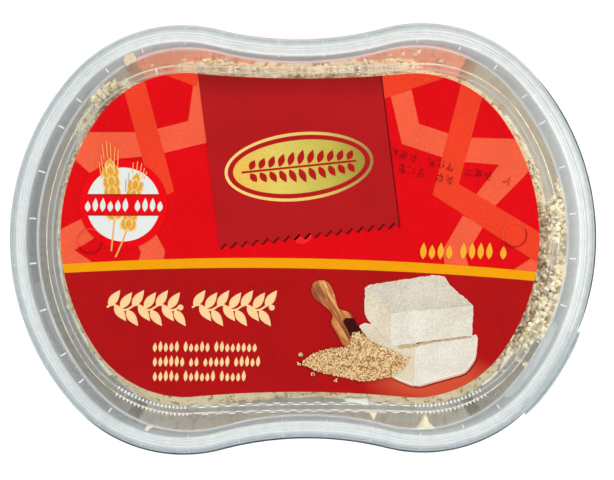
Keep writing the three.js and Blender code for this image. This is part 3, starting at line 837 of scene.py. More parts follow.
def make_tear_guard():
    """The guard bar in front of the lid's edge, on its ledge from the rim, with the bridges that tear."""
    wall = [(-0.15, SKIRT_BOTTOM + 0.1), (-0.6, SKIRT_BOTTOM + 0.1), (-0.7, SKIRT_BOTTOM + 0.5),
            (-0.7, 41.0), (-0.6, 41.5), (-0.4, 41.6), (-0.2, 41.5), (-0.1, 41.0)]
    swept("guard_wall", wall, GUARD_FROM, GUARD_TO, GUARD_PLASTIC)
    ledge = [(2.0, 36.2), (-0.45, 36.2), (-0.5, 36.5), (-0.4, 36.85), (2.0, 36.85)]
    swept("guard_ledge", ledge, GUARD_FROM, GUARD_TO, GUARD_PLASTIC)
    shield = [(0.0, LID_TOP - 2.2), (0.35, LID_TOP - 1.42), (1.0, LID_TOP - 0.82), (1.65, LID_TOP - 0.26),
              (2.25, LID_TOP - 0.01), (2.6, LID_TOP - 0.01), (2.6, LID_TOP - 0.5), (1.6, LID_TOP - 0.9),
              (0.6, LID_TOP - 2.0)]
    swept("guard_shield", shield, GUARD_FROM, GUARD_TO, GUARD_PLASTIC, soft=0.003)
    pitch = (GUARD_TO - GUARD_FROM) / 6
    shares = [GUARD_FROM + (i + 0.5) * pitch for i in range(6)]
    xy, out = outline_points(LID, -0.35, shares)
    placed("guard_bridges", rounded_bar("bridge"), at_height(xy, 37.6), np.arctan2(out[:, 1], out[:, 0]),
           np.ones(6), (0.6, 0.55, 1.3), RIB_PLASTIC)


def make_edge_shade_lines():
    """A thin dark strip on the skirt's upper edge along the tub's front and round its right end: painted
    shade, standing in for the dark reflections and shade along that edge.
    """
    section = [(0.45, LID_TOP - 2.4), (0.08, LID_TOP - 2.7), (0.02, LID_TOP - 2.4), (0.26, LID_TOP - 1.6),
               (0.45, LID_TOP - 1.45)]
    # Painted shade: a dark, streaky, matt colour that stands in for the dark reflections along the skirt's
    # edge.
    material, tree, place = new_material("painted_edge_shade")
    streaks = uneven(tree, place, 3.0, (0.3, 0.7))
    colour = add_node(tree, "ValToRGB", [streaks], stops=[(0.0, "24292B"), (1.0, "5C6468")])
    add_node(tree, "OutputMaterial", [add_node(tree, "BsdfPrincipled", {
        "Base Color": colour, "Roughness": 0.5, "IOR": 1.15})])
    for name, start, stop in (("edge_line_front", 0.615, 0.886), ("edge_line_right", 0.945, 1.1)):
        swept(name, section, start, stop, material, 260, 0.03)


def make_thumb_pad():
    """A flat pad with round ends on the lid's inner wall, beside the tear guard."""
    section = [(5.7, 41.0), (5.65, 41.75), (5.9, 41.95), (6.9, 41.4), (7.3, 41.1), (7.55, 40.5),
               (7.5, 39.7), (6.6, 39.6)]
    swept("thumb_pad", section, GUARD_FROM - 0.002, GUARD_TO, PAD_PLASTIC, soft=0.006)


make_ribs()
make_bead_notch_glints()
make_tear_guard()
make_edge_shade_lines()
make_thumb_pad()


# ---------------------------------------------------------------- halva
def crumbled(loop, amount, step, seed):
    """A loop with its sides broken into short steps and shaken a little."""
    chance = random.Random(seed)
    loop = np.asarray(loop, float)
    made = []
    for a, b in zip(loop, np.roll(loop, -1, axis=0)):
        count = max(1, int(np.linalg.norm(b - a) / step))
        for i in range(count):
            shake = np.array([chance.uniform(-amount, amount), chance.uniform(-amount, amount)])
            made.append(a + (b - a) * i / count + shake)
    return np.array(made)


def inward_from_edge(points):
    """Roughly how far points lie inside the lid's outline, by the outline's points around them."""
    apart = points[:, None, :2] - evenly(LID, 0.0, 180)[None]
    return np.sqrt((apart**2).sum(axis=2).min(axis=1))


def make_halva():
    """One pressed mass from wall to wall, its side smooth where it lies on the wall and its top broken,
    crumbled away from the wall in places."""
    count = HALVA_AROUND
    shares, gaps, tops, feet = halva_edge(count)
    into = 0.12  # how far the halva reaches into the wall, so that no film of air shows

    rings, kinds = [], []

    def add(inset, z, kind):
        rings.append(at_height(outline_points(LID, inset, shares)[0], z))
        kinds.append(kind)

    base = HALVA_BASE - 0.35
    foot = wall_inside(BASE_WALL + BASE_ROUND) - into
    add(foot + 3.0, base, "wall")
    add(foot + 2.0, base, "wall")
    add(foot + 0.6, base + 0.7, "wall")
    for share in np.linspace(0, 1, 26):
        z = (base + BASE_ROUND) * (1 - share) + feet * share
        add(wall_inside(z) - into, z, "wall")
    steps = 9
    for i in range(1, steps + 1):
        share = i / steps
        z = feet + (tops - feet) * share**0.85
        lean = gaps * share**1.6
        add(wall_inside(feet) - into + lean + 0.12 * i, z, "shoulder")
    edge = wall_inside(feet) - into + gaps + 0.12 * steps
    for step in (0.4, 0.8, 1.2, 1.7, 2.2, 2.8, 3.4, 4.0, 4.7, 5.4, 6.2, 7.0, 8.0, 9.0, 10.5, 12.0):
        add(edge + step, tops + 0.25 * min(step, 2.0), "top")
    rim = rings[-1].copy()
    for share in (0.88, 0.76, 0.64, 0.5, 0.36, 0.22, 0.1):
        centre = np.array([0, 0, HALVA_TOP + 0.6])
        rings.append(centre + (rim - centre) * share)
        kinds.append("top")
    points = np.concatenate(rings)
    kinds = np.repeat(kinds, count)
    rough = np.where(kinds == "wall", 0.0, np.where(kinds == "shoulder", 0.75, 1.0))
    lumps = smooth_noise(points, 5.5, 3, 4.0)
    strands = smooth_noise(points * np.array([0.5, 1.4, 1.2]), 2.2, 3, 5.0)
    grit = smooth_noise(points, 0.8, 2, 6.0)
    rise = 0.7 * lumps + 0.75 * strands + 0.28 * grit
    from_centre = points[:, :2] / np.linalg.norm(points[:, :2], axis=1, keepdims=True)
    points[:, 2] += rough * rise
    shoulder = (kinds == "shoulder") * 0.6
    points[:, :2] += from_centre * (shoulder * (rise - 0.2))[:, None]
    centres = [[0, 0, base], [0, 0, HALVA_TOP + 0.6]]
    piece = mesh_object(
        "halva_mass", np.concatenate([points, centres]), ring_faces(len(rings), count), [HALVA], 180)
    # Painted shade: the dips of the broken surface are made darker.
    hollow = np.clip((-rise - 0.45) * 1.3, 0, 0.75) * (rough > 0)
    side = np.where(kinds == "top", 0.0, 1.0)
    loose = (kinds == "top") * np.clip(1.0 - (inward_from_edge(points) - 14.0) / 8.0, 0.12, 1.0)
    add_values(piece, hollow=np.append(hollow, [0, 0]), side=np.append(side, [0, 0]),
               loose=np.append(loose, [0, 0.12]))
    return finish_piece(piece, ["halva"])


halva_mass = make_halva()


def make_crumbs():
    """Loose crumbs on the broken top, and bigger ones that cling to the wall and under the lid."""
    bed = bpy.data.objects.new("crumb_bed", halva_mass.data)
    scene.collection.objects.link(bed)
    grown("halva_crumbs", bed, STREWN, {
        "Shape": lump("crumb", 4), "Per Square Metre": 1.1e6, "Smallest": 0.16 * MM, "Largest": 0.5 * MM,
        "Turn": (3.14, 3.14, 3.14), "Seed": 3, "Material": HALVA_CRUMB})
    chance = random.Random(12)
    places, sizes = [], []
    # Clinging crumbs: a heap at the right end, a trail above it, and a few strays round the tub. Each patch
    # has its share of the outline and its inset, how wide it is along the wall and how deep across it, how
    # many crumbs it has, their smallest and largest size, and their lowest and highest place.
    for share, inset, wide, deep, count, smallest, largest, low, high in (
        (0.950, 11.6, 13.0, 4.0, 360, 0.5, 1.5, 32.0, 35.0),
        (0.950, 10.0, 11.0, 3.0, 220, 0.4, 1.2, 34.0, 37.0),
        (0.975, 7.9, 4.2, 1.5, 70, 0.4, 1.1, 36.0, 38.2),
        (0.000, 12.6, 8.0, 1.6, 150, 0.4, 1.1, 31.5, 34.5),
        (0.006, 9.9, 3.0, 2.2, 70, 0.4, 1.1, 35.0, 37.6),
        (0.019, 8.6, 2.4, 2.4, 70, 0.4, 1.1, 35.0, 38.0),
        (0.030, 7.2, 2.2, 1.3, 45, 0.4, 1.0, 36.5, 38.4),
        (0.048, 12.4, 3.0, 1.4, 40, 0.4, 0.9, 32.0, 34.0),
        (0.389, 8.6, 3.4, 1.2, 40, 0.4, 1.0, 34.5, 37.2),
        (0.393, 11.0, 8.0, 2.4, 150, 0.4, 1.1, 31.5, 34.5),
        (0.44, 12.0, 14.0, 1.2, 80, 0.4, 0.9, 30.5, 33.5),
        (0.250, 8.6, 22.0, 2.4, 110, 0.4, 1.0, 32.5, 34.5),
    ):
        for _ in range(count):
            here = share + chance.gauss(0, wide / 2) / LID_AROUND
            (point,), _ = outline_points(LID, inset + chance.gauss(0, deep / 2), [here])
            places.append((*point, chance.uniform(low, high)))
            sizes.append(chance.uniform(smallest, largest))
    places = np.array(places)
    edge = evenly(LID, 6.9, 720)
    nearest = np.argmin(((places[:, None, :2] - edge[None]) ** 2).sum(axis=2), axis=1)
    beyond = np.linalg.norm(places[:, :2], axis=1) > np.linalg.norm(edge[nearest], axis=1)
    places[beyond, :2] = edge[nearest[beyond]]
    turns = [chance.uniform(0, 6.28) for _ in places]
    tilts = [chance.uniform(-1.2, 1.2) for _ in places]
    placed("clinging_crumbs", lump("crumb", 9), places, turns, sizes, (0.95, 0.8, 0.7), HALVA_CRUMB,
           tilts)


def lid_surface(insets, shares):
    """How high the lid's upper surface stands at insets from its outline."""
    foot = wall_foot(shares)
    across = np.array([[4.75] * len(foot), [5.05] * len(foot), foot - 0.25, foot + 0.1])
    heights = (LID_TOP, LID_TOP - 0.45, PANEL_TOP + 0.4, PANEL_TOP)
    return np.array([np.interp(inset, across[:, i], heights) for i, inset in enumerate(insets)])


def make_flakes():
    """Single flakes of halva on and under the lid: a wedge, a long chip, a patch and two curled slivers."""
    for name, middle, outline, level, thick, material in (
        ("flake_wedge", 0.822, [(-2.7, 5.3), (-1.2, 5.1), (0.6, 5.4), (2.6, 5.2), (2.3, 6.3), (1.2, 7.4),
                                (0.7, 8.6), (0.3, 9.9), (-0.4, 9.6), (-1.0, 8.0), (-2.0, 6.6)],
         37.2, 1.0, HALVA_CRUMB),
        ("flake_chip", 0.787, [(-1.0, 8.6), (-0.3, 8.4), (0.9, 8.7), (0.7, 7.6), (0.4, 6.2), (0.1, 6.4),
                               (-0.5, 7.6)], 37.8, 0.8, HALVA_CRUMB),
        ("flake_patch", 0.7775, [(-2.6, 10.4), (-1.4, 9.6), (0.4, 9.8), (1.2, 9.4), (2.4, 10.2), (2.2, 11.4),
                                 (1.0, 11.6), (-0.6, 11.2), (-1.8, 11.4)], 37.6, 1.0, HALVA_DUST),
        ("flake_curl", 0.3575, [(-1.3, 5.0), (0.2, 4.95), (1.2, 5.3), (1.7, 6.6), (1.3, 7.3), (0.2, 6.8),
                                (-0.9, 7.2), (-1.6, 6.4)], None, 0.34, HALVA_CRUMB),
        ("flake_sliver", 0.6535, [(-0.5, 5.15), (0.4, 5.1), (0.7, 5.6), (1.3, 6.2), (0.5, 6.3), (-0.2, 6.2)],
         None, 0.3, HALVA_DUST),
    ):
        loop = crumbled(outline, 0.14, 0.45, len(name))
        count = len(loop)
        centre = loop.mean(axis=0)
        rings = []
        for spread, share in ((0.5, 0.0), (1.0, 0.2), (0.96, 0.6), (0.5, 1.0), (0.0, 0.0), (0.0, 1.05)):
            flat = centre + (loop - centre) * spread if spread else centre[None]
            shares = middle + flat[:, 0] / LID_AROUND
            xy, _ = outline_points(LID, flat[:, 1], shares)
            base = lid_surface(flat[:, 1], shares) - 0.08 if level is None else level
            rings.append(at_height(xy, base + thick * share))
        points = np.concatenate(rings)
        points = points + 0.08 * smooth_noise(points, 0.8, 2, 8.0)[:, None]
        points[:, 2] = np.minimum(points[:, 2], LID_TOP - CLEARANCE)
        piece = mesh_object(name, points, ring_faces(4, count), [material], 50)
        outward_faces(piece.data)
        finish_piece(piece)


make_crumbs()
make_flakes()


# ---------------------------------------------------------------- printed plate
def on_plate(points):
    """Points of the plate's own flat frame, turned and moved to where the plate lies on the panel."""
    points = np.asarray(points, float)
    c, s = math.cos(PLATE_TURN), math.sin(PLATE_TURN)
    return points @ np.array([[c, s], [-s, c]]) + PLATE_CENTRE


PLATE_EDGE = evenly(PLATE, 0.02, 480)
LEVEL = 0.03


def plate_point(flat, level):
    """Where a point of the plate's flat frame lies, at a level of ink over the plate."""
    return at_height(on_plate(flat), PLATE_TOP + LEVEL * level)


def wall_point(side):
    """A function that bends a label's flat frame, its right and its height, round the wall on the +Y side
    (1) or the -Y side (-1)."""
    steps = np.linspace(0.0, 0.5, 721)
    middle = wall_inside((LABEL_LOW + LABEL_HIGH) / 2) - TUB_WALL
    edge, _ = outline_points(LID, middle, steps)

    def bent(flat, level):
        flat = np.asarray(flat, float)
        shares = np.interp(flat[:, 0], -edge[:, 0], steps)
        reach = wall_inside(flat[:, 1]) - TUB_WALL - LABEL_GAP - LABEL_THICKNESS - LEVEL * level
        xy, _ = outline_points(LID, reach, shares)
        return at_height(xy * side, flat[:, 1])
    return bent


def clipped(edge, shapes, cuts=(), guides=()):
    """Triangles of the shapes' union, inside an edge and outside the cuts, with edges along the guides."""
    loops = [edge, *shapes, *cuts]
    coordinates, faces, lines = [], [], []
    for loop in loops:
        loop = np.asarray(loop, float)
        after = np.roll(loop, -1, axis=0)
        if (loop[:, 0] * after[:, 1] - after[:, 0] * loop[:, 1]).sum() < 0:
            loop = loop[::-1]
        faces.append(list(range(len(coordinates), len(coordinates) + len(loop))))
        coordinates += [Vector((float(x), float(y))) for x, y in loop]
    for start, stop in guides:
        lines.append((len(coordinates), len(coordinates) + 1))
        coordinates += [Vector(start), Vector(stop)]
    made = delaunay_2d_cdt(coordinates, lines, faces, 1, 1e-5, True)
    first_cut = 1 + len(shapes)
    kept = [
        face for face, origins in zip(made[2], made[5])
        if 0 in origins and any(0 < o < first_cut for o in origins)
        and not any(o >= first_cut for o in origins)]
    return np.array([tuple(v) for v in made[0]]), kept


def sheet_mesh(flat, faces, upper, lower, place):
    """Corners and faces of a closed sheet between two levels, over triangles of a flat frame. The upper
    faces come first, then as many lower ones, then the sides."""
    used = sorted({v for face in faces for v in face})
    index = {v: i for i, v in enumerate(used)}
    count = len(used)
    top = []
    for face in faces:
        a, b, c = (flat[v] for v in face[:3])
        order = [index[v] for v in face]
        if (b[0] - a[0]) * (c[1] - a[1]) - (b[1] - a[1]) * (c[0] - a[0]) < 0:
            order.reverse()
        top.append(tuple(order))
    edges = {(a, b) for order in top for a, b in zip(order, order[1:] + order[:1])}
    sides = sorted((a + count, b + count, b, a) for a, b in edges if (b, a) not in edges)
    bottom = [tuple(v + count for v in reversed(order)) for order in top]
    vertices = np.concatenate([place(flat[used], upper), place(flat[used], lower)])
    return vertices, top + bottom + sides, len(top)


def ink_piece(name, shapes, level, material, cuts=(), edge=PLATE_EDGE, place=plate_point,
              guides=()):
    """A closed, very thin body of ink. A higher level lies over a lower one."""
    vertices, faces, _ = sheet_mesh(*clipped(edge, shapes, cuts, guides), level, -0.3, place)
    return finish_piece(mesh_object(name, vertices, faces, [material], 20))


def make_plate():
    """The printed film on the panel, which carries the red ground."""
    rings = []
    for inset, z in ((0.06, PANEL_TOP - 0.01), (0, PANEL_TOP + 0.05), (0, PLATE_TOP - 0.03),
                     (0.04, PLATE_TOP)):
        flat = ring(PLATE, inset, z)
        flat[:, :2] = on_plate(flat[:, :2])
        rings.append(flat)
    return finish_piece(ring_body("print_plate", rings, [field_red_ink()], 30), ["lid_print"])


def disc(x, y, radius, other=None, tilt=0.0, count=72):
    turn = np.arange(count) / count * 2 * math.pi
    flat = np.column_stack([radius * np.cos(turn), (other or radius) * np.sin(turn)])
    c, s = math.cos(tilt), math.sin(tilt)
    return flat @ np.array([[c, s], [-s, c]]) + (x, y)


def leaf(base, tip, width, blunt=0.75, count=9):
    """A seed or leaf shape from its base to its tip."""
    base, tip = np.asarray(base, float), np.asarray(tip, float)
    along = tip - base
    across = np.array([-along[1], along[0]]) / np.linalg.norm(along)
    t = np.linspace(0, 1, count)
    half = width / 2 * np.sin(math.pi * t**blunt)
    left = base + along * t[:, None] + across * half[:, None]
    right = base + along * t[:, None] - across * half[:, None]
    return np.concatenate([right, left[-2:0:-1]])


def stroke(points, width):
    """A line of that width through points, with square ends."""
    points = np.asarray(points, float)
    ahead = np.gradient(points, axis=0)
    across = np.column_stack([-ahead[:, 1], ahead[:, 0]]) / np.linalg.norm(ahead, axis=1, keepdims=True)
    return np.concatenate([points - across * width / 2, (points + across * width / 2)[::-1]])


make_plate()
STRAP_LIGHT = ink("printed_film_coral", "EC5B3C")
STRAP_DARK = ink("printed_film_vermilion", "E73D22")
# The banner's red darkens towards the plate's upper edge: painted shade.
BANNER_TOP_SHADED_INK = ramped_ink("printed_film_deep_red_top_shade", "Y", 36.0, 43.0, [(0.0, "AE171A"), (1.0, "8E1414")], 0.1)
BANNER_FLAT_INK = ink("printed_film_maroon", "9E1B1D", 0.1)
SIDE_FIELD_INK = ink("printed_film_side_red", "AE1218", 0.1)
SHADOW_INK = ink("printed_film_shadow", "5C0A10")
STRIPE_INK = ink("printed_film_amber", "EB9C05", 0.04)
LOWER_INK = lower_red_ink()
WHITE_INK = ink("printed_film_white", "DFE1DA", 0.03)
RING_INK = ink("printed_film_signal_red", "E5050F")
CREAM_INK = ink("printed_film_cream", "F6CB92", 0.05)
YELLOW_INK = ink("printed_film_yellow", "EFA92A", 0.05)
WHEAT_INK = ink("printed_film_wheat", "DDA135", 0.08)
GOLD_INK = ramped_ink("printed_film_gold", "X", -19.0, 19.0, [
    (0.0, "E9B84E"), (0.35, "DCC460"), (0.7, "BFAF4B"), (1.0, "8D7631")], 0.1)
GOLD_EDGE_INK = ramped_ink("printed_film_pale_gold", "X", -19.0, 19.0, [
    (0.0, "F9CB7C"), (0.6, "E3C068"), (1.0, "977A3D")], 0.06)
AWN_INK = ink("printed_film_awn", "F2A55C", 0.05)
SHADE_INK = ink("printed_film_grey", "A9A59A", 0.05)
PIN_HIGHLIGHT_INK = ink("printed_film_pin_highlight", "F0583F", 0.05)
PIN_SHADE_INK = ink("printed_film_pin_shade", "A80A14", 0.05)
CODE_INK = ink("inkjet_code_dark", "8E141C", 0.15)

LIGHT_STRAPS = [
    [(-66, 26.6), (-42.8, 26.7), (-41.1, 20.4), (-47.0, 19.8), (-50.6, 18.1), (-54.7, 16.1), (-58.3, 19.3),
     (-66, 25)],
    [(-37.3, 27.5), (-29.1, 29.6), (-27.1, 44), (-21.5, 44), (-21.5, 24.7), (-35.3, 21.3)],
    [(-66, -0.5), (-61.8, 1.6), (-56.7, 4.2), (-53.2, -0.7), (-58.6, -4.0), (-53.9, -7.1), (-53.2, -9),
     (-66, -9)],
    [(-42.0, -3.0), (-37.3, 0.1), (-35.1, -4.1), (-35.7, -9), (-42.4, -9), (-41.3, -4.4)],
    [(23.5, 36.1), (28.9, 37.9), (30.8, 29.0), (38.5, 26.5), (36.9, 20.3), (26.4, 23.8)],
    [(44.5, 25.4), (55.7, 25.1), (66, 24.9), (61.5, 19), (57.4, 14.6), (50.6, 7.7), (45.7, 10.6),
     (51.7, 18.4), (42.7, 19.1)],
    [(42.3, 5.2), (47.6, 2.4), (43.0, -5.3), (44.5, -10.5), (38.1, -10), (37.0, -4.0)],
    [(55.3, -9.0), (61.9, -4.7), (66, -2), (66, -13), (60, -13)],
]
DARK_STRAPS = [
    [(-47.6, 44), (-41.5, 44), (-32.7, 11.4), (-34.4, 10.4), (-38.3, 8.5), (-41.3, 21.0)],
    [(-40, 44), (-26.0, 44), (-26.9, 38.6), (-27.5, 38.8), (-33.7, 41.0)],
    [(20.9, 44), (40, 44), (36.9, 40.7), (28.7, 38.0), (21.9, 35.5)],
    [(43.0, 44), (49.4, 44), (47.2, 35.8), (41.2, 13.4), (62.3, 0.8), (66, 0), (66, -9), (60.5, -6.3),
     (34.4, 10.6)],
]
ink_piece("straps_coral", LIGHT_STRAPS, 1, STRAP_LIGHT)
ink_piece("straps_vermilion", DARK_STRAPS, 2, STRAP_DARK)


def across_plate(left, middle, right, reach=70, count=41):
    """Heights of a shallow bow that passes three heights, at x of -61.3, 0 and 61.2."""
    x = np.linspace(-reach, reach, count)
    bow = np.polyfit([-61.3, 0.1, 61.2], [left, middle, right], 2)
    return np.column_stack([x, np.polyval(bow, x)])


stripe_top = across_plate(-7.6, -6.0, -9.4)
stripe_bottom = across_plate(-9.9, -8.6, -11.8)
lower_field = np.concatenate([[(-70, -50), (70, -50)], stripe_bottom[::-1] + (0, 0.4)])
ink_piece("lower_field", [lower_field], 3, LOWER_INK)
ink_piece("amber_stripe", [np.concatenate([stripe_bottom, stripe_top[::-1]])], 5, STRIPE_INK)


def banner_loop(shift=(0.0, 0.0)):
    """A hanging banner that runs off the plate's upper edge, with pinked teeth along its foot."""
    left, right = np.array([-20.8, -2.9]), np.array([25.7, 2.9])
    teeth = 17
    foot = []
    for i in range(2 * teeth + 1):
        point = left + (right - left) * i / (2 * teeth)
        foot.append(point + (0, 0.65 if i % 2 else -0.65))
    return np.array([(20.4, 45), (-27.0, 45), *foot]) + shift


ink_piece("banner_shadow", [banner_loop((0.35, -0.35))], 4, SHADOW_INK)
ink_piece("banner", [banner_loop()], 6, BANNER_TOP_SHADED_INK)

# A plain oval badge with a seed sprig, in the banner's middle.
tilt = math.radians(6)
badge = (-0.3, 17.8)
ink_piece("badge_ring", [disc(*badge, 19.4, 8.9, tilt)], 7, GOLD_EDGE_INK, [disc(*badge, 18.6, 8.1, tilt)])
ink_piece("badge_oval", [disc(*badge, 17.2, 6.9, tilt)], 7, GOLD_INK)
sprig = []
c, s = math.cos(tilt), math.sin(tilt)
for i in range(-5, 6):
    centre = np.array(badge) + np.array([c, s]) * i * 2.55
    for side in (1, -1):
        reach = 4.3 - 0.28 * abs(i)
        tip = centre + np.array([c, s]) * 1.5 + np.array([-s, c]) * side * reach
        sprig.append(leaf(centre + np.array([-s, c]) * side * 0.45, tip, 1.75, 0.9))
sprig.append(stroke([np.array(badge) + np.array([c, s]) * t for t in (-15.0, 0.0, 15.0)], 0.55))
ink_piece("badge_sprig", sprig, 8, BANNER_TOP_SHADED_INK)

# The roundel: a red ring, a white disc cut by a red band, and two ears of wheat.
roundel = (-45.9, 7.9)
ink_piece("roundel_ring", [disc(*roundel, 11.5)], 7, RING_INK)
band = [(-60, 4.95), (-30, 4.95), (-30, 10.6), (-60, 10.6)]
ink_piece("roundel_disc", [disc(*roundel, 9.6)], 8, WHITE_INK, [band])
ink_piece("roundel_band_lines", [
    [(-55.1, 10.2), (-36.7, 10.2), (-36.7, 10.55), (-55.1, 10.55)],
    [(-55.1, 5.0), (-36.7, 5.0), (-36.7, 5.35), (-55.1, 5.35)],
], 8, BANNER_TOP_SHADED_INK)


def seed_row(x, y, words, height, pitch, seed):
    """A row of upright seeds in groups, one group for each count in words."""
    chance = random.Random(seed)
    made = []
    for count in words:
        for _ in range(count):
            tall = height * chance.choice((0.78, 0.86, 1.0))
            made.append(leaf((x, y), (x + 0.06 * tall, y + tall), pitch * 0.74, 0.85, 7))
            x += pitch
        x += pitch * 0.62
    return made


ink_piece("roundel_seed_row", seed_row(-55.2, 6.0, (6, 4), 3.6, 1.95, 3), 9, WHITE_INK)


def wheat_ear(foot, head, rows, width):
    """Side grains and outlined middle grains of an ear, from its foot to its head."""
    foot, head = np.array(foot), np.array(head)
    length = np.linalg.norm(head - foot)
    up = (head - foot) / length
    side = np.array([-up[1], up[0]])
    step = length / (rows + 0.6)
    flanks, outlines, middles = [], [], []
    for i in range(rows):
        at = foot + up * step * i
        for hand in (1, -1):
            tip = at + up * step * 1.15 + side * hand * width * 0.4
            flanks.append(leaf(at + side * hand * width * 0.12, tip, width * 0.44, 0.8))
        outlines.append(leaf(at + up * step * 0.15, at + up * step * 1.45, width * 0.54, 0.8))
        middles.append(leaf(at + up * step * 0.2, at + up * step * 1.25, width * 0.4, 0.8))
    flanks.append(leaf(head - up * step * 0.75, head + up * step * 0.35, width * 0.42, 0.8))
    return flanks, outlines, middles


def fine_lines(ends, width):
    """Straight strokes of one width between pairs of ends."""
    return [stroke([start, (np.array(start) + stop) / 2, stop], width) for start, stop in ends]


ears = [wheat_ear((-48.0, 4.1), (-49.5, 19.0), 5, 4.4), wheat_ear((-44.8, 1.2), (-42.4, 15.2), 5, 4.0)]
orange_awns = fine_lines([
    ((-50.9, 19.6), (-51.4, 23.5)), ((-50.0, 20.0), (-50.3, 24.2)), ((-49.1, 19.6), (-49.3, 23.9)),
    ((-48.3, 18.6), (-48.1, 22.9)), ((-47.4, 17.4), (-47.2, 22.1)), ((-51.2, 16.6), (-51.7, 20.8)),
    ((-51.5, 14.6), (-52.2, 18.8)), ((-43.5, 16.0), (-43.3, 18.8)), ((-42.4, 16.6), (-42.2, 19.1)),
    ((-41.7, 15.2), (-41.1, 18.6)), ((-41.0, 14.7), (-40.4, 17.4)), ((-40.5, 14.5), (-39.8, 16.4)),
], 0.24)
stems = [stroke([(-48.1, 4.4), (-48.5, 0.5), (-49.0, -4.2)], 0.42),
         stroke([(-44.8, 1.6), (-46.2, -2.0), (-47.9, -5.8)], 0.42)]
ink_piece("wheat_awns", [*orange_awns, *stems], 9, AWN_INK, [band])
ink_piece("wheat_shade", fine_lines([
    ((-45.4, 11.2), (-45.2, 14.4)), ((-44.6, 12.6), (-44.4, 16.2)), ((-40.9, 11.4), (-40.7, 13.6)),
], 0.22), 9, SHADE_INK, [band])
ink_piece("wheat_edges", [leaf(g[0] - 0.25 * (g[len(g) // 2] - g[0]) / 3, g[len(g) // 2], 2.7)
                          for ear in ears for g in ear[0]], 10, CREAM_INK, [band])
ink_piece("wheat_grains", [g for ear in ears for g in ear[0]], 11, WHEAT_INK, [band])
ink_piece("wheat_outlines", [g for ear in ears for g in ear[1]], 12, CREAM_INK, [band])
ink_piece("wheat_middles", [g for ear in ears for g in ear[2]], 13, WHEAT_INK, [band])

# Where the pack has words, rows of seeds and leaves stand.
ink_piece("amber_seed_row", seed_row(31.9, -6.2, (4, 4, 1), 4.4, 2.25, 5), 6, YELLOW_INK)
rows = []
for y, words, seed in ((-30.4, (5, 5, 8), 11), (-34.2, (6, 2, 5, 5), 12), (-38.0, (5, 6, 5), 13)):
    rows += seed_row(-37.7, y, words, 2.9, 1.42, seed)
ink_piece("cream_seed_rows", rows, 6, CREAM_INK)


def leaf_scroll(x_from, x_to, y, size, pitch):
    """A waving stem with a leaf above and below it in turn."""
    x = np.linspace(x_from, x_to, 25)

    def wave(t):
        return y + 0.7 * math.sin((t - x_from) / pitch * math.pi)

    shapes = [stroke([(t, wave(t)) for t in x], 0.5)]
    hand = 1
    t = x_from + 0.4
    while t < x_to - 0.4:
        shapes.append(leaf((t, wave(t)), (t + size * 0.62, wave(t) + hand * size * 0.86), size * 0.46, 0.8))
        t += pitch / 2
        hand = -hand
    return shapes


SCROLL_LINE, SCROLL_LEAF, SCROLL_PITCH = -18.8, 4.9, 3.1
scrolls = []
for x_from, x_to in ((-50.1, -31.5), (-28.0, -8.0)):
    scrolls += leaf_scroll(x_from, x_to, SCROLL_LINE, SCROLL_LEAF, SCROLL_PITCH)
scrolls += [disc(x, SCROLL_LINE, 0.75) for x in (-31.0, -7.3)]
ink_piece("cream_leaf_scrolls", scrolls, 6, CREAM_INK)

# A dated code by ink jet: cells of dots with nothing to read in them.
chance = random.Random(21)
dots = []
for start, cells in (((24.0, 22.4), 13), ((26.1, 18.4), 6)):
    heading = math.atan2(13.5 - 21.3, 56.0 - 24.0)
    ahead = np.array([math.cos(heading), math.sin(heading)])
    up = np.array([-math.sin(heading), math.cos(heading)])
    for cell in range(cells):
        if cell % 4 == 3:
            continue
        for column in range(4):
            for row in range(5):
                if chance.random() < 0.46:
                    at = np.array(start) + ahead * (cell * 2.5 + column * 0.44) - up * row * 0.44
                    dots.append(disc(*at, 0.15, count=6))
ink_piece("dot_code", dots, 9, CODE_INK)

# Faint round marks that the mould's pins leave in the panel under the plate, each ring drawn as a painted
# highlight on one half and painted shade on the other; a lighter red disc lies in the plate's middle.
for name, half, pin_ink in (("pin_marks_light", 0.0, PIN_HIGHLIGHT_INK),
                            ("pin_marks_dark", math.pi, PIN_SHADE_INK)):
    arcs = []
    for x, y in ((-54.6, -1.6), (55.7, 0.2)):
        turn = half + 0.5 + np.linspace(0.0, math.pi, 25)
        arcs.append(stroke(np.column_stack([x + 3.15 * np.cos(turn), y + 3.15 * np.sin(turn)]), 0.16))
    ink_piece(name, arcs, 9, pin_ink)
ink_piece("pin_disc", [disc(0.4, 0.7, 3.0)], 4, ink("printed_film_raised_red", "EE1D26", 0.06))


# ---------------------------------------------------------------- picture on the plate
def block_ink(name, light, dark):
    """The print of a cut block of halva: pale, with the grit of its cut face."""
    material, tree, place = new_material(name)
    grit = uneven(tree, place, 0.5, detail=3.0, roughness=0.75)
    clouds = add_node(tree, "Math", [uneven(tree, place, 8.0, detail=1.0), 0.4], operation="MULTIPLY")
    both = add_node(tree, "Math", [grit, clouds], operation="ADD")
    spread = add_node(tree, "MapRange", [both, 0.52, 0.88])
    ink_surface(tree, place, add_node(tree, "ValToRGB", [spread], stops=[(0.0, dark), (1.0, light)]))
    return material


def wood_ink(name):
    """The print of a turned beech scoop: brown, lighter along its ridge, with dark streaks of grain."""
    material, tree, place = new_material(name)
    along = add_node(tree, "Mapping", {"Vector": place, "Rotation": (0, 0, math.radians(60))})
    drawn = add_node(tree, "Mapping", {"Vector": along, "Scale": (0.22, 1.6, 1.0)})
    streaks = uneven(tree, drawn, 1.9, (0.3, 0.7), 3.0, 0.65)
    ink_surface(tree, place, add_node(tree, "ValToRGB", [streaks], stops=[
        (0.0, "6B3630"), (0.3, "96522F"), (0.6, "BC7440"), (0.85, "DD9A5C"), (1.0, "F0BC86")]))
    return material


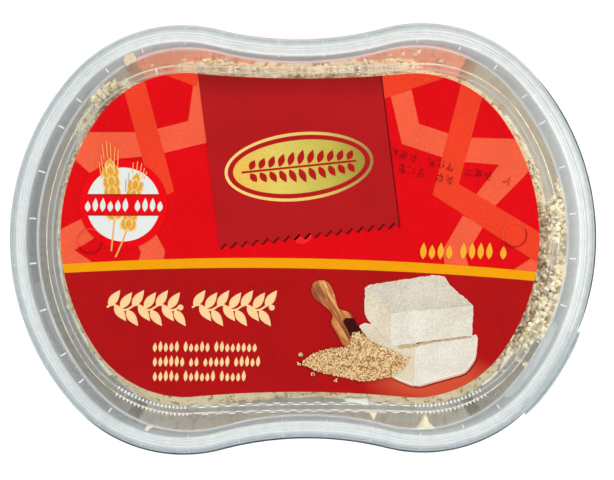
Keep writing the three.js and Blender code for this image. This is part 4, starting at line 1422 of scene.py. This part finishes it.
def seed_ink(name):
    """The print of hulled sesame: cream gold, each seed its own shade."""
    material, tree, place = new_material(name)
    shade = add_node(tree, "Attribute", out="Fac", attribute_name="shade")
    ink_surface(tree, place, add_node(tree, "ValToRGB", [shade], stops=[
        (0.0, "C0904F"), (0.2, "E6C084"), (0.6, "F6DCAC"), (1.0, "FFEFCE")]))
    return material


BLOCK_TOP_INK = block_ink("printed_film_block_top", "DFD6C6", "BFB29C")
BLOCK_FRONT_INK = block_ink("printed_film_block_front", "EDE6D9", "D0C5B2")
BLOCK_SIDE_INK = block_ink("printed_film_block_side", "E6DAC2", "CABA9C")
BLOCK_EDGE_INK = ink("printed_film_block_edge", "EFE6D8", 0.03)
BLOCK_CRACK_INK = block_ink("printed_film_block_crack", "CDB48E", "B0946A")
PILE_INK = ink("printed_film_seed_shadow", "A87440", 0.2)

UPPER_SIDE = [(17.0, -13.6), (19.9, -15.4), (23.6, -20.1), (23.4, -28.5), (18.6, -22.8), (17.0, -20.6)]
UPPER_TOP = [(17.0, -13.6), (18.6, -12.8), (34.6, -10.4), (37.3, -10.7), (39.0, -13.2), (44.9, -18.1),
             (23.6, -20.1), (19.9, -15.4)]
UPPER_FRONT = [(23.6, -20.1), (44.9, -18.1), (44.5, -25.9), (32.6, -27.4), (23.4, -28.7)]
LOWER_SIDE = [(15.5, -23.5), (17.3, -22.9), (18.8, -23.3), (23.6, -27.6), (30.0, -27.8), (29.8, -38.8),
              (25.6, -37.1), (21.4, -35.0)]
LOWER_FRONT = [(30.0, -28.6), (32.6, -28.1), (44.5, -26.1), (45.8, -25.7), (45.2, -31.6), (42.7, -35.1),
               (30.0, -38.9)]
LOWER_TOP = [(25.4, -28.7), (30.0, -28.1), (33.5, -27.4), (38.0, -26.9), (44.6, -26.2), (44.6, -26.5),
             (38.0, -27.3), (33.5, -28.0), (30.4, -28.9), (26.0, -29.5)]


def grown_loop(loop, out):
    """A loop moved outwards from its middle."""
    loop = np.asarray(loop, float)
    away = loop - loop.mean(axis=0)
    return loop + away / np.linalg.norm(away, axis=1, keepdims=True) * out


def worn(loop, reach, amount, seed):
    """A loop with its corners worn round over that reach, and its sides crumbled."""
    loop = np.asarray(loop, float)
    made = []
    for before, here, after in zip(np.roll(loop, 1, 0), loop, np.roll(loop, -1, 0)):
        ends = []
        for other in (before, after):
            length = np.linalg.norm(other - here)
            ends.append(here + (other - here) * min(reach / length, 0.4))
        made += [ends[0], 0.5 * here + 0.25 * (ends[0] + ends[1]), ends[1]]
    return crumbled(made, amount, 0.6, seed)


BLOCK_FACES = [UPPER_SIDE, UPPER_TOP, UPPER_FRONT, LOWER_SIDE, LOWER_FRONT]
# The lower block's light spills softly over the ground in front of it.
for step, (shift, hue) in enumerate(((1.4, "D65C44"), (1.1, "DC745E"), (0.8, "E4937F"), (0.55, "ECB5A4"),
                                     (0.3, "F4D8CC"))):
    spill = [worn(grown_loop(loop, 0.1 + 0.3 * shift) + (shift * 0.4, -shift * 0.7), 1.2, 0.0, 1)
             for loop in (LOWER_SIDE[3:], LOWER_FRONT)]
    name = f"block_glow_{5 - step}"
    ink_piece(name, spill, 2 + step, ink(f"printed_film_{name}", hue, 0.05))
edges = [worn(grown_loop(loop, 0.2), 0.5, 0.1, 31) for loop in BLOCK_FACES]
ink_piece("block_edges", edges, 7, BLOCK_EDGE_INK)
ink_piece("lower_block_side", [worn(LOWER_SIDE, 0.5, 0.08, 33)], 8, BLOCK_SIDE_INK)
ink_piece("lower_block_front", [worn(LOWER_FRONT, 0.7, 0.08, 34)], 9, BLOCK_FRONT_INK)
ink_piece("block_crack", [crumbled(LOWER_TOP, 0.16, 0.6, 35)], 10, BLOCK_CRACK_INK)
ink_piece("upper_block_side", [worn(UPPER_SIDE, 0.5, 0.08, 36)], 11, BLOCK_SIDE_INK)
ink_piece("upper_block_top", [worn(UPPER_TOP, 0.6, 0.08, 37)], 12, BLOCK_TOP_INK)
ink_piece("upper_block_front", [worn(UPPER_FRONT, 0.5, 0.1, 38)], 13, BLOCK_FRONT_INK)


def smooth_loop(loop, steps=5):
    """A closed curve through a loop's points."""
    loop = np.asarray(loop, float)
    made = []
    for before, a, b, after in zip(np.roll(loop, 1, 0), loop, np.roll(loop, -1, 0), np.roll(loop, -2, 0)):
        for t in np.arange(steps) / steps:
            made.append(0.5 * (2 * a + (b - before) * t + (2 * before - 5 * a + 4 * b - after) * t**2
                               + (3 * a - before - 3 * b + after) * t**3))
    return np.array(made)


SCOOP = [(3.0, -13.7), (3.6, -12.3), (5.3, -11.7), (6.9, -12.0), (8.0, -13.1), (8.9, -15.3), (9.4, -17.2),
         (10.2, -19.1), (12.7, -20.0), (14.0, -21.6), (15.6, -24.4), (17.1, -26.5), (13.1, -28.5),
         (11.5, -28.8), (9.9, -26.0), (8.2, -22.9), (8.5, -21.1), (7.9, -19.7), (6.4, -18.4), (4.1, -16.6),
         (3.1, -15.0)]
HOLLOW = [(11.2, -22.3), (11.9, -21.5), (13.9, -21.5), (16.2, -25.4), (13.3, -26.4)]
ink_piece("scoop", [smooth_loop(SCOOP)], 14, wood_ink("printed_film_beech"))
RIDGE = [(5.6, -12.8), (7.3, -14.8), (8.4, -17.8), (9.4, -20.0), (10.0, -21.6), (12.6, -27.4)]
KNOB_SHADE = [(3.9, -13.2), (4.7, -12.9), (6.3, -15.1), (6.6, -16.5), (5.0, -15.6), (4.0, -14.3)]
ink_piece("scoop_ridge", [stroke(smooth_loop(RIDGE)[:26], 0.3)], 15,
          ink("printed_film_beech_light", "DC9E60", 0.15))
ink_piece("scoop_knob_shade", [smooth_loop(KNOB_SHADE)], 15, ink("printed_film_beech_dark", "93563A", 0.25))
ink_piece("scoop_hollow", [crumbled(HOLLOW, 0.05, 0.6, 41)], 16, ink("printed_film_hollow", "3A0D0C", 0.2))

PILE = [(0.8, -32.9), (3.6, -30.7), (8.0, -29.4), (12.4, -28.8), (13.7, -25.5), (15.5, -25.2), (17.7, -27.2),
        (21.2, -28.8), (25.6, -30.7), (27.8, -32.5), (27.4, -33.8), (24.7, -36.0), (21.2, -37.1),
        (16.4, -37.7), (11.5, -36.9), (5.8, -35.6), (1.4, -33.8)]
pile_loop = smooth_loop(PILE)
ink_piece("seed_pile_shadow", [crumbled(pile_loop, 0.12, 0.8, 51)], 17, PILE_INK)


def make_printed_seeds():
    """The pile of sesame in the picture: flat seeds strewn over its outline, a few beside it."""
    strays = [disc(x, y, radius, count=8) for x, y, radius in (
        (-0.2, -33.4, 0.5), (0.2, -31.0, 0.6), (3.4, -36.0, 0.5), (9.3, -37.6, 0.5), (28.6, -31.6, 0.4))]
    flat, faces = clipped(PLATE_EDGE, [grown_loop(pile_loop, 0.1), *strays])
    bed = helper_object("seed_bed", plate_point(flat, 18) * MM, [tuple(face) for face in faces])
    add_values(bed, loose=np.ones(len(flat)))
    grown("printed_seeds", bed, STREWN, {
        "Shape": lens("seed_shape"), "Per Square Metre": 1.15e7, "Smallest": 0.32 * MM,
        "Largest": 0.58 * MM, "Turn": (0.16, 0.16, 3.14), "Seed": 8,
        "Material": seed_ink("printed_film_sesame")})


make_printed_seeds()


# ---------------------------------------------------------------- side labels
LABEL_INSET = LABEL_HALF - LABEL_CORNER
LABEL_EDGE = [(-LABEL_HALF, LABEL_LOW + LABEL_CORNER), (-LABEL_INSET, LABEL_LOW), (LABEL_INSET, LABEL_LOW),
              (LABEL_HALF, LABEL_LOW + LABEL_CORNER), (LABEL_HALF, LABEL_HIGH - LABEL_CORNER),
              (LABEL_INSET, LABEL_HIGH), (-LABEL_INSET, LABEL_HIGH),
              (-LABEL_HALF, LABEL_HIGH - LABEL_CORNER)]
GUIDES = [((x, 0.0), (x, 45.0)) for x in np.arange(-46.0, 46.1, 1.6)]


def make_label(name, side, outside, inside, replaces):
    """A printed film on a long wall. Its inner face shows through the clear wall."""
    flat, faces = clipped([(-60, 0), (60, 0), (60, 45), (-60, 45)], [LABEL_EDGE], (), GUIDES)
    vertices, faces, upper = sheet_mesh(flat, faces, 0, -LABEL_THICKNESS / LEVEL, wall_point(side))
    looks = [0] * upper + [1] * upper + [0] * (len(faces) - 2 * upper)
    piece = mesh_object(name, vertices, faces, [outside, inside], 30, looks)
    piece.visible_shadow = False  # the film lets the light outside it through to its inner face
    finish_piece(piece, [replaces])


def label_ink(name, side, shapes, level, material):
    """A very thin body of ink on the outside of a wall's label."""
    piece = ink_piece(name, shapes, level, material, (), LABEL_EDGE, wall_point(side), GUIDES)
    piece.visible_shadow = False


def box_loop(left, low, right, high):
    return [(left, low), (right, low), (right, high), (left, high)]


# The inner face of the back label glows: painted light.
make_label("label_back", 1, ink("printed_film_back_red", "D31219"),
           film_inside("label_film_back", "EFA58C", 0.8), "side_label_back")
label_ink("back_straps", 1, [
    [(-46, 24), (-36, 37), (-31, 37), (-43, 20)], [(-40, 14), (-24, 38), (-19, 38), (-34, 14)],
    [(46, 24), (36, 37), (31, 37), (43, 20)], [(40, 14), (24, 38), (19, 38), (34, 14)],
], 1, STRAP_LIGHT)
label_ink("back_lower_field", 1, [box_loop(-50, 0, 50, 14.0)], 2, SIDE_FIELD_INK)
label_ink("back_stripe", 1, [box_loop(-50, 14.0, 50, 15.4)], 3, STRIPE_INK)
label_ink("back_oval", 1, [disc(0, 26.0, 13.0, 6.6)], 3, BANNER_FLAT_INK)
label_ink("back_oval_sprig", 1, [leaf((x, 26.0 + 0.4 * hand), (x + 1.3, 26.0 + 3.2 * hand), 1.5)
                                 for x in np.arange(-8.5, 8.0, 2.2) for hand in (1, -1)], 4, CREAM_INK)
label_ink("back_seed_row", 1, seed_row(-21.0, 9.4, (6, 5, 7, 4), 2.6, 1.7, 61), 4, CREAM_INK)

# The inner face of the front label glows too: painted light.
make_label("label_front", -1, ink("printed_film_front_white", "ECEAE3", 0.03),
           film_inside("label_film_front", "CCCACA", 0.4), "side_label_front")
label_ink("front_band", -1, [box_loop(-50, 31.5, 50, 40.0)], 1, SIDE_FIELD_INK)
label_ink("front_stripe", -1, [box_loop(-50, 30.3, 50, 31.5)], 1, STRIPE_INK)
label_ink("front_seed_row", -1, seed_row(-16.0, 33.2, (5, 4, 6), 2.4, 1.6, 62), 2, CREAM_INK)
chance = random.Random(63)
lines = []
for left, right in ((-42.5, -16.0), (-13.0, 13.0)):
    for y in np.arange(10.5, 28.6, 1.75):
        x = left
        while x < right - 1.5:
            long = min(chance.uniform(1.4, 4.6), right - x)
            lines.append(box_loop(x, y, x + long, y + 0.75))
            x += long + 0.7
label_ink("front_bars", -1, lines, 1, SHADE_INK)
table = [box_loop(17.0, 9.6, 42.6, 9.9)]
table += [box_loop(17.0, y, 42.6, y + 0.25) for y in np.arange(12.0, 29.0, 2.3)]
table += [box_loop(x, 9.6, x + 0.25, 28.3) for x in (17.0, 33.5, 42.35)]
label_ink("front_table", -1, table, 1, SHADE_INK)


# ---------------------------------------------------------------- stage and light
def area_light(name, place, size, power, colour, target=(0, 0, 0.02)):
    data = bpy.data.lights.new(name, "AREA")
    data.shape = "RECTANGLE"
    data.size, data.size_y = size
    data.energy = power
    data.color = colour
    light = bpy.data.objects.new(name, data)
    light.location = place
    light.rotation_euler = (Vector(target) - Vector(place)).to_track_quat("-Z", "Y").to_euler()
    scene.collection.objects.link(light)


area_light("softbox_left", (-1.1, 0.1, 0.95), (1.2, 0.7), 7.7, (0.93, 0.97, 1.0))
area_light("softbox_right", (1.1, 0.1, 0.95), (1.2, 0.7), 9.4, (0.97, 0.98, 1.0))
area_light("softbox_back", (0.0, 1.1, 0.9), (1.4, 0.6), 7.8, (1.0, 0.98, 0.95))
area_light("softbox_front", (0.0, -1.1, 0.9), (1.4, 0.6), 8.3, (0.9, 0.96, 1.0))
area_light("softbox_low", (0.55, 0.3, 0.16), (0.4, 0.2), 0.6, (1.0, 0.94, 0.86), (0.03, 0.01, 0.03))

# The floor is matt white paper: no gloss, and a weak glow of its own that keeps it pale.
floor_mesh = bpy.data.meshes.new("floor")
floor_mesh.from_pydata([(-3, -3, 0), (3, -3, 0), (3, 3, 0), (-3, 3, 0)], [], [(0, 1, 2, 3)])
floor = bpy.data.objects.new("floor", floor_mesh)
floor_material, floor_tree, _ = new_material("matt_white_paper")
add_node(floor_tree, "OutputMaterial", [add_node(floor_tree, "BsdfPrincipled", {
    "Base Color": linear("FFFFFF"), "Roughness": 0.9, "IOR": 1.2, "Emission Color": linear("FFFFFF"),
    "Emission Strength": 0.13})])
floor_mesh.materials.append(floor_material)
scene.collection.objects.link(floor)

world = bpy.data.worlds.new("studio")
world.use_nodes = True
world.node_tree.nodes.clear()
way = add_node(world.node_tree, "TexCoord", out="Generated")
height = add_node(world.node_tree, "SeparateXYZ", [way], "Z")
share_up = add_node(world.node_tree, "MapRange", [height, -0.2, 1.0])
sky = add_node(world.node_tree, "ValToRGB", [share_up], stops=[
    (0.0, "F4F6F7"), (0.55, "E6EAEC"), (0.85, "8A9094"), (1.0, "3C4044")])
background = add_node(world.node_tree, "Background", {"Color": sky, "Strength": 0.5})
add_node(world.node_tree, "OutputWorld", [background])
scene.world = world
scene.view_settings.view_transform = "Standard"
scene.view_settings.look = "None"
scene.cycles.max_bounces = 24
scene.cycles.transmission_bounces = 20
scene.cycles.transparent_max_bounces = 32
